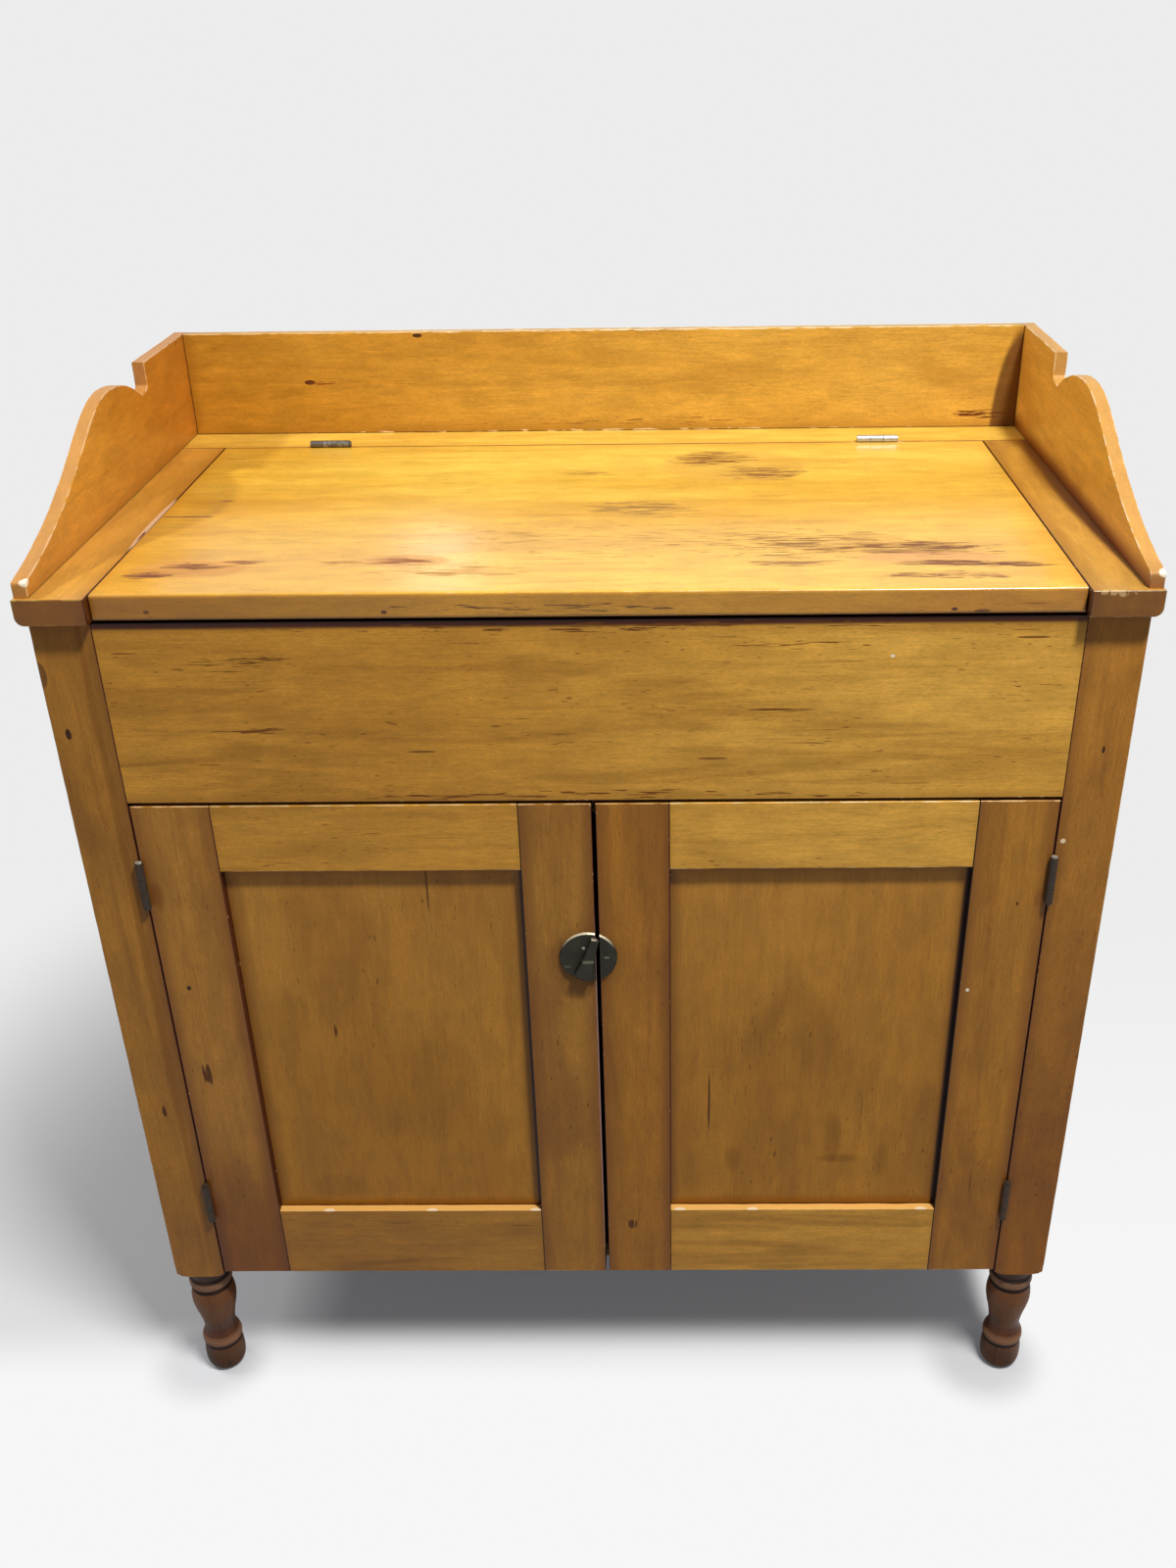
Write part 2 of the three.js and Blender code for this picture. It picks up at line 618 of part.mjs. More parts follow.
// A framed door: two stiles, two rails with stub tenons and a recessed flat panel, all in one groove
function makeDoor(hand, side) {
  const group = new THREE.Group();
  const edge = halfOpening - hingeSideGap;
  const width = edge - meetingGap / 2;
  const span = (near, far) => sideSpan(side, edge - near, edge - far);
  const stileZ = [doorBottom, doorTop];
  const groove = [panelRecess - seat, panelRecess + panelThickness + seat];
  const inner = [hingeStileWidth, width - lockStileWidth];
  const grooveDepth = panelTongue + seat;
  const grooveX = span(inner[0] - grooveDepth, inner[1] + grooveDepth);
  const slot = block([grooveX, groove, grown([stileZ], overrun)[0]]);
  const recesses = hingePlaces().doors.filter((hinge) => hinge.side === side);
  let hingeStile = block([span(0, inner[0]), [0, doorThickness], stileZ]).subtract(slot);
  for (const hinge of recesses) hingeStile = hingeStile.subtract(doorHingeRecess(hinge));
  const lockStile = block([span(inner[1], width), [0, doorThickness], stileZ]).subtract(slot);
  const railLevels = {
    top: [doorTop - doorTopRailHeight, doorTop],
    bottom: [doorBottom, doorBottom + doorBottomRailHeight],
  };
  const opening = [railLevels.bottom[1], railLevels.top[0]];
  const railGroove = block([
    span(inner[0] - panelTongue - overrun, inner[1] + panelTongue + overrun),
    groove,
    grown([opening], grooveDepth)[0],
  ]);
  for (const [level, z] of Object.entries(railLevels)) {
    const face = block([span(inner[0] + seat, inner[1] - seat), [0, doorThickness], z]);
    const tongueY = [panelRecess, panelRecess + panelThickness];
    const tenons = block([span(inner[0] - panelTongue, inner[1] + panelTongue), tongueY, z]);
    const made = face.add(tenons).subtract(railGroove);
    group.add(piece(`${hand}_door_${level}_rail`, made, materials.frontWood));
  }
  const panelX = span(inner[0] - panelTongue, inner[1] + panelTongue);
  const panelZ = grown([opening], panelTongue)[0];
  const panel = block([panelX, [panelRecess, panelRecess + panelThickness], panelZ]);
  group.add(piece(`${hand}_door_hinge_stile`, hingeStile, materials.doorWood));
  group.add(piece(`${hand}_door_lock_stile`, lockStile, materials.doorWood));
  group.add(piece(`${hand}_door_panel`, panel, materials.panelWood));
  return group;
}

// The round latch rose with its bevelled rim, hollow behind, its back on the door
function latchRose() {
  const face = latchThickness;
  const rim = [[latchRadius, 0], [latchRadius, latchRim], [latchRadius - latchBevel, face]];
  const profile = [[0, 0], ...rim, [0, face]];
  const disc = new THREE.LatheGeometry(profile.map(([r, h]) => new THREE.Vector2(r, h)), latchSideCount);
  const hollow = bar(pocketRadius, [-overrun, pocketDepth], latchSideCount);
  return solid(disc.rotateX(Math.PI / 2)).subtract(hollow);
}

// The half of the rose on one door: everything on that side of the meeting gap
function roseHalf(side) {
  const gapEdge = latchOffset + side * (meetingGap / 2 + seat);
  const cut = side < 0 ? [gapEdge, 2 * latchRadius] : [-2 * latchRadius, gapEdge];
  const height = [-latchRadius - overrun, latchRadius + overrun];
  return latchRose().subtract(block([cut, height, [-overrun, latchThickness + overrun]]));
}

// The latch handle: a ridged wedge that widens towards its lower end, on a round spindle
function latchHandle() {
  const foot = latchThickness + latchClearance;
  const side = outline([
    [-handleBottom, foot],
    [handleTop, foot],
    [handleTop, handleTopReach],
    [0, handleReach],
    [-handleBottom, handleBottomReach],
  ]);
  const plan = outline([
    [-handleBottomHalfWidth, -handleBottom],
    [handleBottomHalfWidth, -handleBottom],
    [handleMiddleHalfWidth, 0],
    [handleTopHalfWidth, handleTop],
    [-handleTopHalfWidth, handleTop],
    [-handleMiddleHalfWidth, 0],
  ]);
  const wide = prism("x", side, [-handleBottomHalfWidth, handleBottomHalfWidth]);
  const handle = wide.intersect(prism("z", plan, [0, handleReach + overrun]));
  return handle.add(bar(spindleRadius, [latchClearance, foot + overrun]));
}

// The flat tongue behind the rose, round at both ends, on the spindle
function latchTongue() {
  const shape = new THREE.Shape();
  shape.absarc(0, 0, tongueHalfWidth, 0, Math.PI);
  shape.absarc(0, tongueHalfWidth - tongueReach, tongueHalfWidth, Math.PI, 2 * Math.PI);
  shape.closePath();
  const level = [latchClearance, latchClearance + latchTongueThickness];
  const hole = bar(spindleRadius + latchClearance, [-overrun, latchThickness]);
  return prism("z", shape, level, curveStepCount).subtract(hole);
}

// The turn latch: rose on the left door, keeper on the right, handle and tongue between them
function makeLatch(bodies) {
  const hole = bar(spindleRadius + latchClearance, [-overrun, latchThickness + overrun]);
  const rose = piece("latch_plate", roseHalf(-1).subtract(hole), materials.latchMetal);
  const keeper = piece("latch_keeper", roseHalf(1), materials.latchMetal);
  const handle = piece("latch_knob", latchHandle(), materials.latchMetal);
  const tongue = piece("latch_tongue", latchTongue(), materials.latchMetal);
  for (const part of [rose, keeper, handle, tongue]) {
    part.rotation.set(Math.PI / 2, 0, 0);
    part.position.set(-latchOffset, -seat, doorBottom + latchRise);
  }
  for (const part of [handle, tongue]) part.rotation.set(Math.PI / 2, handleTilt, 0, "YXZ");
  bodies.leftDoor.add(rose);
  bodies.rightDoor.add(keeper);
  bodies.turn.add(handle, tongue);
}

const cabinet = new THREE.Group();
const turn = new THREE.Group();
const bodies = {
  fixed: makeCase(),
  lid: makeLid(),
  leftDoor: makeDoor("left", -1),
  rightDoor: makeDoor("right", 1),
  turn,
};
makeHinges(bodies);
makeLatch(bodies);
bodies.leftDoor.add(turn);
cabinet.add(bodies.fixed, bodies.lid, bodies.leftDoor, bodies.rightDoor);
cabinet.position.y = (frontOverhang - caseDepth) / 2;

export default cabinet;
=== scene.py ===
# Dry sink cabinet: aged honey wood, iron butt hinges and a bronze turn latch.
# Metres, +Z up, the front towards -Y, the origin on the floor under the middle of the cabinet.
import json
import math
from functools import partial

import bmesh
import bpy
import numpy as np
from mathutils import Matrix, Vector, noise

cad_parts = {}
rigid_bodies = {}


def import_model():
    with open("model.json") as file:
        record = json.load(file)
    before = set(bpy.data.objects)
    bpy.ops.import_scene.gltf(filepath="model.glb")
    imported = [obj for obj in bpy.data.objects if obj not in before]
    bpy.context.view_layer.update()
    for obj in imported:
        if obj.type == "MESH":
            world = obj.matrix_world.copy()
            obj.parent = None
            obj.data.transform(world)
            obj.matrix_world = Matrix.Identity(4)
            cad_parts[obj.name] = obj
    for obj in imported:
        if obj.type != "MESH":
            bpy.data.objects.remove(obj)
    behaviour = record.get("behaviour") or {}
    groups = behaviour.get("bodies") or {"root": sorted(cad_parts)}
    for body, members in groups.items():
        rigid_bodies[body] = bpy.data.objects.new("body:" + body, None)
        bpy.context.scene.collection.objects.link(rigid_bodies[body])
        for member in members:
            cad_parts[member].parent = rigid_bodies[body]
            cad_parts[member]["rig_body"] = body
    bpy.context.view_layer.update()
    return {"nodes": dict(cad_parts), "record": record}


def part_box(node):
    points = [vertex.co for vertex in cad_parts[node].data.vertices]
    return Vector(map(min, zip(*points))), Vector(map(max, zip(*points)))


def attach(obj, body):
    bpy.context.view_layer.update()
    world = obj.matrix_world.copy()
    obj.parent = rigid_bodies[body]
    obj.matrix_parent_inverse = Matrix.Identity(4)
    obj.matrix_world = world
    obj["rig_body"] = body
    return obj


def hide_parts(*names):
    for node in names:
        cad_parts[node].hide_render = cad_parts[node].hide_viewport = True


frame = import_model()
nodeSlots = {row["node"]: row["material_slot"] for row in frame["record"]["subparts"]}
mm = 0.001
weldReach = 0.01 * mm
softAngle = math.radians(40)
print("frame loaded:", len(frame["nodes"]), "nodes")


def middleOf(node):
    low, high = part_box(node)
    return (low + high) / 2


def newObject(name, data):
    made = bpy.data.objects.new(name, data)
    bpy.context.scene.collection.objects.link(made)
    return made


# Colours are written as they look on a screen and turned into the light values that shaders take
def tint(code):
    parts = [int(code[i : i + 2], 16) / 255 for i in (0, 2, 4)]
    return tuple(p / 12.92 if p <= 0.04045 else ((p + 0.055) / 1.055) ** 2.4 for p in parts) + (1.0,)


# A value in a nodes tree, so that a sum of values is written as a sum
class Value:
    def __init__(self, tree, socket):
        self.tree = tree
        self.socket = socket

    def calc(self, operation, other=0.0):
        return addValue(self.tree, "ShaderNodeMath", {0: self, 1: other}, operation=operation)

    def __add__(self, other):
        return self.calc("ADD", other)

    def __sub__(self, other):
        return self.calc("SUBTRACT", other)

    def __rsub__(self, other):
        return self * -1.0 + other

    def __mul__(self, other):
        return self.calc("MULTIPLY", other)

    def __truediv__(self, other):
        return self.calc("DIVIDE", other)

    def atMost(self, other):
        return self.calc("MINIMUM", other)

    def atLeast(self, other):
        return self.calc("MAXIMUM", other)

    # 0 at the start and 1 at the stop, with soft ends
    def ramp(self, start, stop):
        ends = {"Value": self, "From Min": start, "From Max": stop}
        return addValue(self.tree, "ShaderNodeMapRange", ends, interpolation_type="SMOOTHSTEP")

    def mixed(self, share, colour, blend="MIX"):
        return mixColour(self.tree, share, self, colour, blend)

    def vector(self, operation, other=(0.0, 0.0, 0.0)):
        output = "Value" if operation in ("LENGTH", "DOT_PRODUCT") else "Vector"
        return addValue(self.tree, "ShaderNodeVectorMath", {0: self, 1: other}, output, operation=operation)

    def axes(self):
        return addValues(self.tree, "ShaderNodeSeparateXYZ", {0: self})


# Inputs of a node are given as values of the tree, which are linked, or as plain ones
def fill(tree, node, inputs):
    for key, value in inputs.items():
        if isinstance(value, Value):
            tree.links.new(value.socket, node.inputs[key])
        else:
            node.inputs[key].default_value = value
    return node


def addNode(tree, kind, inputs=None, **settings):
    node = tree.nodes.new(kind)
    for key, value in settings.items():
        setattr(node, key, value)
    return fill(tree, node, inputs or {})


def addValue(tree, kind, inputs=None, output=0, **settings):
    return Value(tree, addNode(tree, kind, inputs, **settings).outputs[output])


def addValues(tree, kind, inputs=None, **settings):
    return {socket.name: Value(tree, socket) for socket in addNode(tree, kind, inputs, **settings).outputs}


def mixColour(tree, share, a, b, blend="MIX"):
    ends = {0: share, 6: a, 7: b}
    return addValue(tree, "ShaderNodeMix", ends, 2, data_type="RGBA", blend_type=blend)


def cloud(coords, along, across, detail=3.0, distortion=0.0, shift=None):
    if shift:
        coords = coords.vector("ADD", shift)
    stretched = coords.vector("MULTIPLY", (along, across, across))
    ends = {"Vector": stretched, "Scale": 1.0, "Detail": detail, "Distortion": distortion}
    return addValue(coords.tree, "ShaderNodeTexNoise", ends)


# Inputs or outputs of a node group: the names of each kind
def addSockets(tree, direction, rows):
    for kind, names in rows.items():
        for name in names.split():
            tree.interface.new_socket(name=name, in_out=direction, socket_type="NodeSocket" + kind)


def newMaterial(name):
    material = bpy.data.materials.new(name)
    material.use_nodes = True
    tree = material.node_tree
    return material, tree, addValue(tree, "ShaderNodeTexCoord", output="Object")


# The noises that all the wood shares: repeats for each metre along and across the grain, detail,
# distortion and shift
woodNoises = {
    "clouds": (2.6, 8.0, 5.0, 0.3),
    "bands": (3.0, 42.0, 3.0, 1.1),
    "fibres": (26.0, 700.0, 2.0),
    "pores": (60.0, 330.0, 3.0),
    "mottle": (30.0, 12.0, 2.0),
    "specks": (260.0, 900.0, 2.0),
    "smudges": (15.0, 52.0, 4.0, 0.6, (1.3, 8.2, 4.6)),
    "flecks": (75.0, 430.0, 1.0),
    "cracks": (16.0, 380.0, 2.0, 0.3),
    "groups": (5.0, 13.0, 3.0, 0.5, (3.1, 1.7, 5.3)),
    "wearing": (75.0, 75.0, 4.0, 0.0, (7.7, 2.9, 1.1)),
    "chipped": (170.0, 170.0, 2.0, 0.0, (2.7, 6.9, 8.1)),
}
# Where a noise begins to show and where it shows in full
woodSteps = {
    "clouds": ("clouds", 0.34, 0.66), "bands": ("bands", 0.46, 0.74), "smudges": ("smudges", 0.36, 0.64),
    "blotches": ("groups", 0.5, 0.74), "crowding": ("groups", 0.42, 0.68), "flecks": ("flecks", 0.69, 0.77),
    "cracks": ("cracks", 0.71, 0.76), "chips": ("chipped", 0.68, 0.73), "wear": ("wearing", 0.34, 0.66),
}
# How much the brightness follows each fine noise
woodShades = {"fibres": 0.34, "pores": 0.32, "mottle": 0.2, "specks": 0.5}
# How far joints and arrises reach, the shares of smudges, of flecks outside the blotches, of joint
# lines and of their chips, and the unevenness of the surface
woodFigure = {
    "joint": 1.1 * mm, "grime": 32 * mm, "chip": 1.8 * mm, "wear": 1.7 * mm,
    "smudges": 0.15, "scattered": 0.2, "grimeSpread": 0.8, "leastGrime": 0.6, "line": 0.9, "chips": 0.75,
    "gloss": 0.2, "bandHeight": 0.3, "fibreHeight": 0.2, "fleckDepth": 0.7, "relief": 0.4 * mm,
}


# One group makes the figure, the flecks, the dark joint lines and the worn edges of any board
def buildWoodGroup():
    s = woodFigure
    tree = bpy.data.node_groups.new("agedWood", "ShaderNodeTree")
    addSockets(tree, "INPUT", {
        "Vector": "Coords", "Float": "Joint Edge Bands Flecks Blotches Wear Grime",
        "Color": "Light Middle Deep Fleck Line Worn",
    })
    addSockets(tree, "OUTPUT", {"Color": "Colour", "Float": "Rough Height"})
    start = addValues(tree, "NodeGroupInput")
    noises = {name: cloud(start["Coords"], *row) for name, row in woodNoises.items()}
    steps = {name: noises[noise].ramp(low, high) for name, (noise, low, high) in woodSteps.items()}
    # Broad tones, then grain, then the fine fibre and the cross figure
    colour = start["Middle"].mixed(steps["clouds"], start["Light"])
    colour = colour.mixed(steps["bands"] * start["Bands"], start["Deep"])
    shade = steps["smudges"] * -s["smudges"] + (1 + s["smudges"] / 2)
    for name, depth in woodShades.items():
        shade = shade * (noises[name] * depth + (1 - depth / 2))
    colour = colour.mixed(1.0, shade, "MULTIPLY")
    colour = colour.mixed(steps["blotches"] * start["Blotches"], start["Deep"])
    # Short dark flecks and thin cracks, most of them where the wood is blotched
    crowding = steps["crowding"] * (1 - s["scattered"]) + s["scattered"]
    dark = steps["flecks"].atLeast(steps["cracks"]) * crowding * start["Flecks"]
    colour = colour.mixed(dark, start["Fleck"])
    # Grime beside the joints, the joint line itself with its chips, and the pale worn arrises
    grime = start["Joint"].ramp(noises["clouds"] * s["grime"], 0.0) * start["Grime"]
    colour = colour.mixed(grime * (noises["pores"] * s["grimeSpread"] + s["leastGrime"]), start["Deep"])
    line = start["Joint"].ramp(s["joint"], s["joint"] * 0.3)
    colour = colour.mixed(line * s["line"], start["Line"])
    chip = start["Joint"].ramp(s["chip"], s["chip"] * 0.6) * s["chips"] * steps["chips"]
    reach = steps["wear"] * s["wear"]
    worn = start["Edge"].ramp(reach, reach * 0.5)
    colour = colour.mixed(worn.atLeast(chip) * start["Wear"], start["Worn"])
    rough = (noises["clouds"] - 0.5 + dark) * s["gloss"]
    grain = noises["bands"] * s["bandHeight"] + noises["fibres"] * s["fibreHeight"]
    height = grain - dark * s["fleckDepth"]
    addNode(tree, "NodeGroupOutput", {"Colour": colour, "Rough": rough, "Height": height})
    return tree


woodGroup = buildWoodGroup()


# What the wood looks like on each kind of board: six tones, and how strong each feature is
def woodLook(tones, specular=0.25, bump=0.25, zoom=1.0, **strengths):
    names = ("light", "middle", "deep", "fleck", "line", "worn")
    return dict(zip(names, tones.split()), specular=specular, bump=bump, zoom=zoom, **strengths)


lidWood = woodLook(
    "F6CC58 EEBD49 D29834 8A5418 5A2408 FFF1CE", 0.5, 0.06, roughness=0.21,
    bands=0.4, flecks=0.85, blotches=0.35, wear=0.85, grime=0.35,
)
sideTopWood = woodLook(
    "D69A3C CB8E33 AA7026 5A2F0E 4A1608 FFF1CE", 0.4, 0.15, roughness=0.26,
    bands=0.35, flecks=0.5, blotches=0.4, wear=0.7, grime=0.6,
)
frontWood = woodLook(
    "E9B04A DDA23E AE7A28 6A3810 4E1A08 F6D8A0", roughness=0.36,
    bands=0.6, flecks=0.9, blotches=0.45, wear=0.75, grime=0.5,
)
doorWood = woodLook(
    "BC8233 B0762A 804A1A 54280C 46160A EABF86", roughness=0.36,
    bands=0.3, flecks=0.8, blotches=0.5, wear=0.75, grime=0.65,
)
panelWood = woodLook(
    "C28836 B67C2B 8C581C 4F2C10 48180C EABF86", roughness=0.38,
    bands=0.25, flecks=0.7, blotches=0.5, wear=0.4, grime=0.75,
)
postWood = woodLook(
    "BC8030 AE7326 784717 4E280C 48180C E2B47A", roughness=0.38,
    bands=0.35, flecks=0.75, blotches=0.5, wear=0.4, grime=0.5,
)
galleryWood = woodLook(
    "E0AA48 D69C3A B07824 5A2F0E 4A1608 FFE6C0", 0.3, 0.2, roughness=0.32,
    bands=0.35, flecks=0.5, blotches=0.4, wear=0.6, grime=0.55,
)
footWood = woodLook(
    "663A15 4C280C 27150A 180B05 1C0C06 B98A5C", 0.3, 0.5, roughness=0.42,
    bands=0.7, flecks=0.9, blotches=0.9, wear=0.0, grime=0.0, zoom=2.4,
)
insideWood = woodLook(
    "A98556 977345 705030 40280F 2A1608 C4A474", 0.3, 0.4, roughness=0.7,
    bands=0.6, flecks=0.5, blotches=0.6, wear=0.0, grime=0.0,
)
sideWood = dict(postWood, bands=0.5, wear=0.0)
backWood = dict(galleryWood, light="DFAF4C", middle="D4A23F", deep="AA7826")


# What a mark is like unless its own row says otherwise: its streaks, its soft rim, and how deep and
# rough it is
plainMark = {
    "along": 32.0, "across": 560.0, "gate": 0.75, "soft": 0.04, "rim": 0.1, "full": 0.4,
    "depth": 0.6, "rough": 0.25,
}


# A mark at a place on a board, with its half sizes: solid, or with a density, thin streaks along
# the grain
def markAt(at, size, tone, strength=1.0, **more):
    return {**plainMark, **more, "at": at, "size": size, "tone": tone, "strength": strength}


# The same in millimetres, on a face that looks forward; onTop does it for the top
def onFace(face, x, z, wide, tall, *rest, **more):
    return markAt((x * mm, face, z * mm), (wide * mm, 4 * mm, tall * mm), *rest, **more)


def markShare(coords, place, mark):
    scaled = place.vector("SUBTRACT", mark["at"]).vector("DIVIDE", mark["size"])
    inside = (1.0 - scaled.vector("DOT_PRODUCT", scaled)).atLeast(0.0)
    if "density" in mark:
        streaks = cloud(coords, mark["along"], mark["across"], 3.0, 0.4)
        gate = inside * -mark["density"] + mark["gate"]
        share = streaks.ramp(gate, gate + mark["soft"]) * inside.ramp(0.0, mark["rim"])
    else:
        share = inside.ramp(0.0, mark["full"])
    return share * mark["strength"]


# A tone that grows along an axis, from a start to a stop in metres, and one for a whole board
def fadeAlong(axis, start, stop, tone, strength=1.0, blend="MULTIPLY"):
    return {"axis": axis, "ends": (start, stop), "tone": tone, "strength": strength, "blend": blend}


def overall(tone):
    return fadeAlong("Z", 0.0, 0.001, tone)


# How far a place on a board is from the sides that meet a neighbour, and from its open arrises
def boardDistances(place, box, faces, joints):
    axes = place.axes()
    away = {}
    for i, axis in enumerate("xyz"):
        for sign, corner in (("-", box[0]), ("+", box[1])):
            away[axis + sign] = (axes[axis.upper()] - corner[i]).calc("ABSOLUTE")
    joint = edge = 1.0
    for code in joints.split():
        joint = away[code].atMost(joint)
    for face in faces.split():
        for side in away:
            if side[0] != face[0] and side not in joints:
                edge = away[face].atLeast(away[side]).atMost(edge)
    return joint, edge


def storedDistances(place):
    names = ("jointDistance", "edgeDistance")
    return [addValue(place.tree, "ShaderNodeAttribute", output="Fac", attribute_name=name) for name in names]


# The finish of one board: grain gives the axis that its fibres follow, distances a function that
# adds the nodes for its joints and arrises, and fades the tones that change along an axis
def woodMaterial(name, look, grain, seed, marks=(), distances=None, fades=()):
    material, tree, place = newMaterial(name)
    turn = {"x": (0, 0, 0), "y": (0, 0, math.pi / 2), "z": (0, math.pi / 2, 0)}[grain]
    shift = (0.37 * seed, 0.91 * seed, 0.53 * seed)
    zoom = (look["zoom"],) * 3
    ends = {"Vector": place, "Rotation": turn, "Location": shift, "Scale": zoom}
    coords = addValue(tree, "ShaderNodeMapping", ends)
    joint, edge = distances(place) if distances else (1.0, 1.0)
    ends = {"Coords": coords, "Joint": joint, "Edge": edge}
    for key in ("Light", "Middle", "Deep", "Fleck", "Line", "Worn"):
        ends[key] = tint(look[key.lower()])
    for key in ("Bands", "Flecks", "Blotches", "Wear", "Grime"):
        ends[key] = look[key.lower()]
    made = addValues(tree, "ShaderNodeGroup", ends, node_tree=woodGroup)
    colour, height = made["Colour"], made["Height"]
    rough = made["Rough"] + look["roughness"]
    axes = place.axes()
    for fade in fades:
        share = axes[fade["axis"]].ramp(*fade["ends"]) * fade["strength"]
        colour = colour.mixed(share, tint(fade["tone"]), fade["blend"])
    for mark in marks:
        share = markShare(coords, place, mark)
        colour = colour.mixed(share, tint(mark["tone"]))
        height = height - share * mark["depth"]
        rough = rough + share * mark["rough"]
    bump = {"Strength": look["bump"], "Distance": woodFigure["relief"], "Height": height}
    fill(tree, tree.nodes["Principled BSDF"], {
        "Base Color": colour, "Roughness": rough, "Specular IOR Level": look["specular"],
        "Normal": addValue(tree, "ShaderNodeBump", bump),
    })
    return material


# How the arrises of the boards are rounded and worn
arrisShape = {
    "radius": 0.8 * mm, "segments": 3, "within": 1.05,
    "jointScale": 0.55, "leastWear": 0.7, "mostWear": 2.4,
    "waveLength": 22 * mm, "reach": 20 * mm, "shortest": 5 * mm,
    "sharpAngle": math.radians(35), "flatAngle": math.radians(0.6), "same": 0.05 * mm,
}


def faceCode(normal):
    axis = max(range(3), key=lambda i: abs(normal[i]))
    return "xyz"[axis] + ("+" if normal[axis] > 0 else "-")


def onOutside(face, code, box):
    axis = "xyz".index(code[0])
    level = box[1][axis] if code[1] == "+" else box[0][axis]
    return abs(face.calc_center_median()[axis] - level) < arrisShape["same"]


def convexEdges(mesh):
    limit = arrisShape["sharpAngle"]
    shared = (edge for edge in mesh.edges if len(edge.link_faces) == 2)
    return [edge for edge in shared if edge.calc_face_angle_signed(0.0) > limit]


# The convex edges round the named outer faces, and whether each runs along a joint
def findArrises(mesh, box, faces, joints, skip):
    found = []
    for edge in convexEdges(mesh):
        codes = [faceCode(face.normal) for face in edge.link_faces]
        sides = zip(codes, edge.link_faces)
        if not any(code in skip.split() for code in codes):
            if any(code in faces and onOutside(face, code, box) for code, face in sides):
                found.append((edge, any(code in joints for code in codes)))
    return found


# Distance from each point to the nearest of the segments, that place on it, and which segment it is
def nearestOn(points, starts, ends):
    best = np.full(len(points), 1.0)
    places = points.copy()
    which = np.zeros(len(points), int)
    for i, (a, b) in enumerate(zip(starts, ends)):
        along = b - a
        share = np.clip(((points - a) @ along) / (along @ along), 0, 1)
        foot = a + share[:, None] * along
        far = np.linalg.norm(points - foot, axis=1)
        closer = far < best
        best[closer] = far[closer]
        places[closer] = foot[closer]
        which[closer] = i
    return best, places, which


def roundEdges(mesh, edges, radius, segments, clamped):
    bmesh.ops.bevel(
        mesh, geom=edges, offset=radius, segments=segments, profile=0.5, affect="EDGES",
        clamp_overlap=clamped,
    )


def newMesh(name, mesh):
    made = bpy.data.meshes.new(name)
    mesh.to_mesh(made)
    mesh.free()
    return made


def cut(mesh, place, normal, **settings):
    geom = mesh.verts[:] + mesh.edges[:] + mesh.faces[:]
    bmesh.ops.bisect_plane(mesh, geom=geom, plane_co=place, plane_no=normal, **settings)


def cutAcross(mesh, box, pitch):
    for axis, step in enumerate(pitch):
        count = int((box[1][axis] - box[0][axis]) / step) if step else 0
        normal = [0, 0, 0]
        normal[axis] = 1
        for i in range(1, count + 1):
            level = [0, 0, 0]
            level[axis] = box[0][axis] + (box[1][axis] - box[0][axis]) * i / (count + 1)
            cut(mesh, level, normal, dist=1e-7)


# A copy of a board with its arrises rounded unevenly, as use has worn them
def wornMesh(name, mesh, box, faces, joints, pitch, chips=(), skip=""):
    s = arrisShape
    arrises = findArrises(mesh, box, faces, joints, skip)
    isJoint = np.array([joint for _, joint in arrises])
    starts = np.array([edge.verts[0].co for edge, _ in arrises])
    ends = np.array([edge.verts[1].co for edge, _ in arrises])
    isShort = np.linalg.norm(ends - starts, axis=1) < s["shortest"]
    roundEdges(mesh, [edge for edge, _ in arrises], s["radius"], s["segments"], False)
    cutAcross(mesh, box, pitch)
    bmesh.ops.triangulate(mesh, faces=[face for face in mesh.faces if len(face.verts) > 4])
    points = np.array([v.co for v in mesh.verts])
    nearest, places, which = nearestOn(points, starts, ends)
    for i in np.flatnonzero(nearest < s["radius"] * s["within"]):
        wave = noise.noise(Vector(places[i]) / s["waveLength"]) * 0.5 + 0.5
        scale = s["leastWear"] + (s["mostWear"] - s["leastWear"]) * wave**2
        if isJoint[which[i]]:
            scale = s["jointScale"]
        elif isShort[which[i]]:
            scale = 1.0
        for chip in chips:
            away = np.linalg.norm((places[i] - np.array(chip["at"])) / np.array(chip["size"]))
            scale += chip["bite"] * max(0.0, 1 - away**2) ** 0.5
        points[i] = places[i] + (points[i] - places[i]) * scale
    for vertex, place in zip(mesh.verts, points):
        vertex.co = place
    made = newMesh(name, mesh)
    for key, chosen in {"jointDistance": isJoint, "edgeDistance": ~isJoint}.items():
        values, _, _ = nearestOn(points, starts[chosen], ends[chosen])
        attribute = made.attributes.new(key, "FLOAT", "POINT")
        attribute.data.foreach_set("value", np.minimum(values, s["reach"]).astype(np.float32))
    return made


def mergedCopy(node):
    mesh = bmesh.new()
    mesh.from_mesh(frame["nodes"][node].data)
    bmesh.ops.remove_doubles(mesh, verts=mesh.verts, dist=weldReach)
    bmesh.ops.dissolve_limit(mesh, angle_limit=arrisShape["flatAngle"], verts=mesh.verts, edges=mesh.edges)
    return mesh


# A finished piece in the scene, on the body that carries it
def addPiece(name, data, material, body, slot, stands=()):
    piece = newObject(name, data)
    data.materials.clear()
    data.materials.append(material)
    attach(piece, body)
    if stands:
        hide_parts(*stands)
    return piece


def bodyOf(node):
    return frame["nodes"][node]["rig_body"]


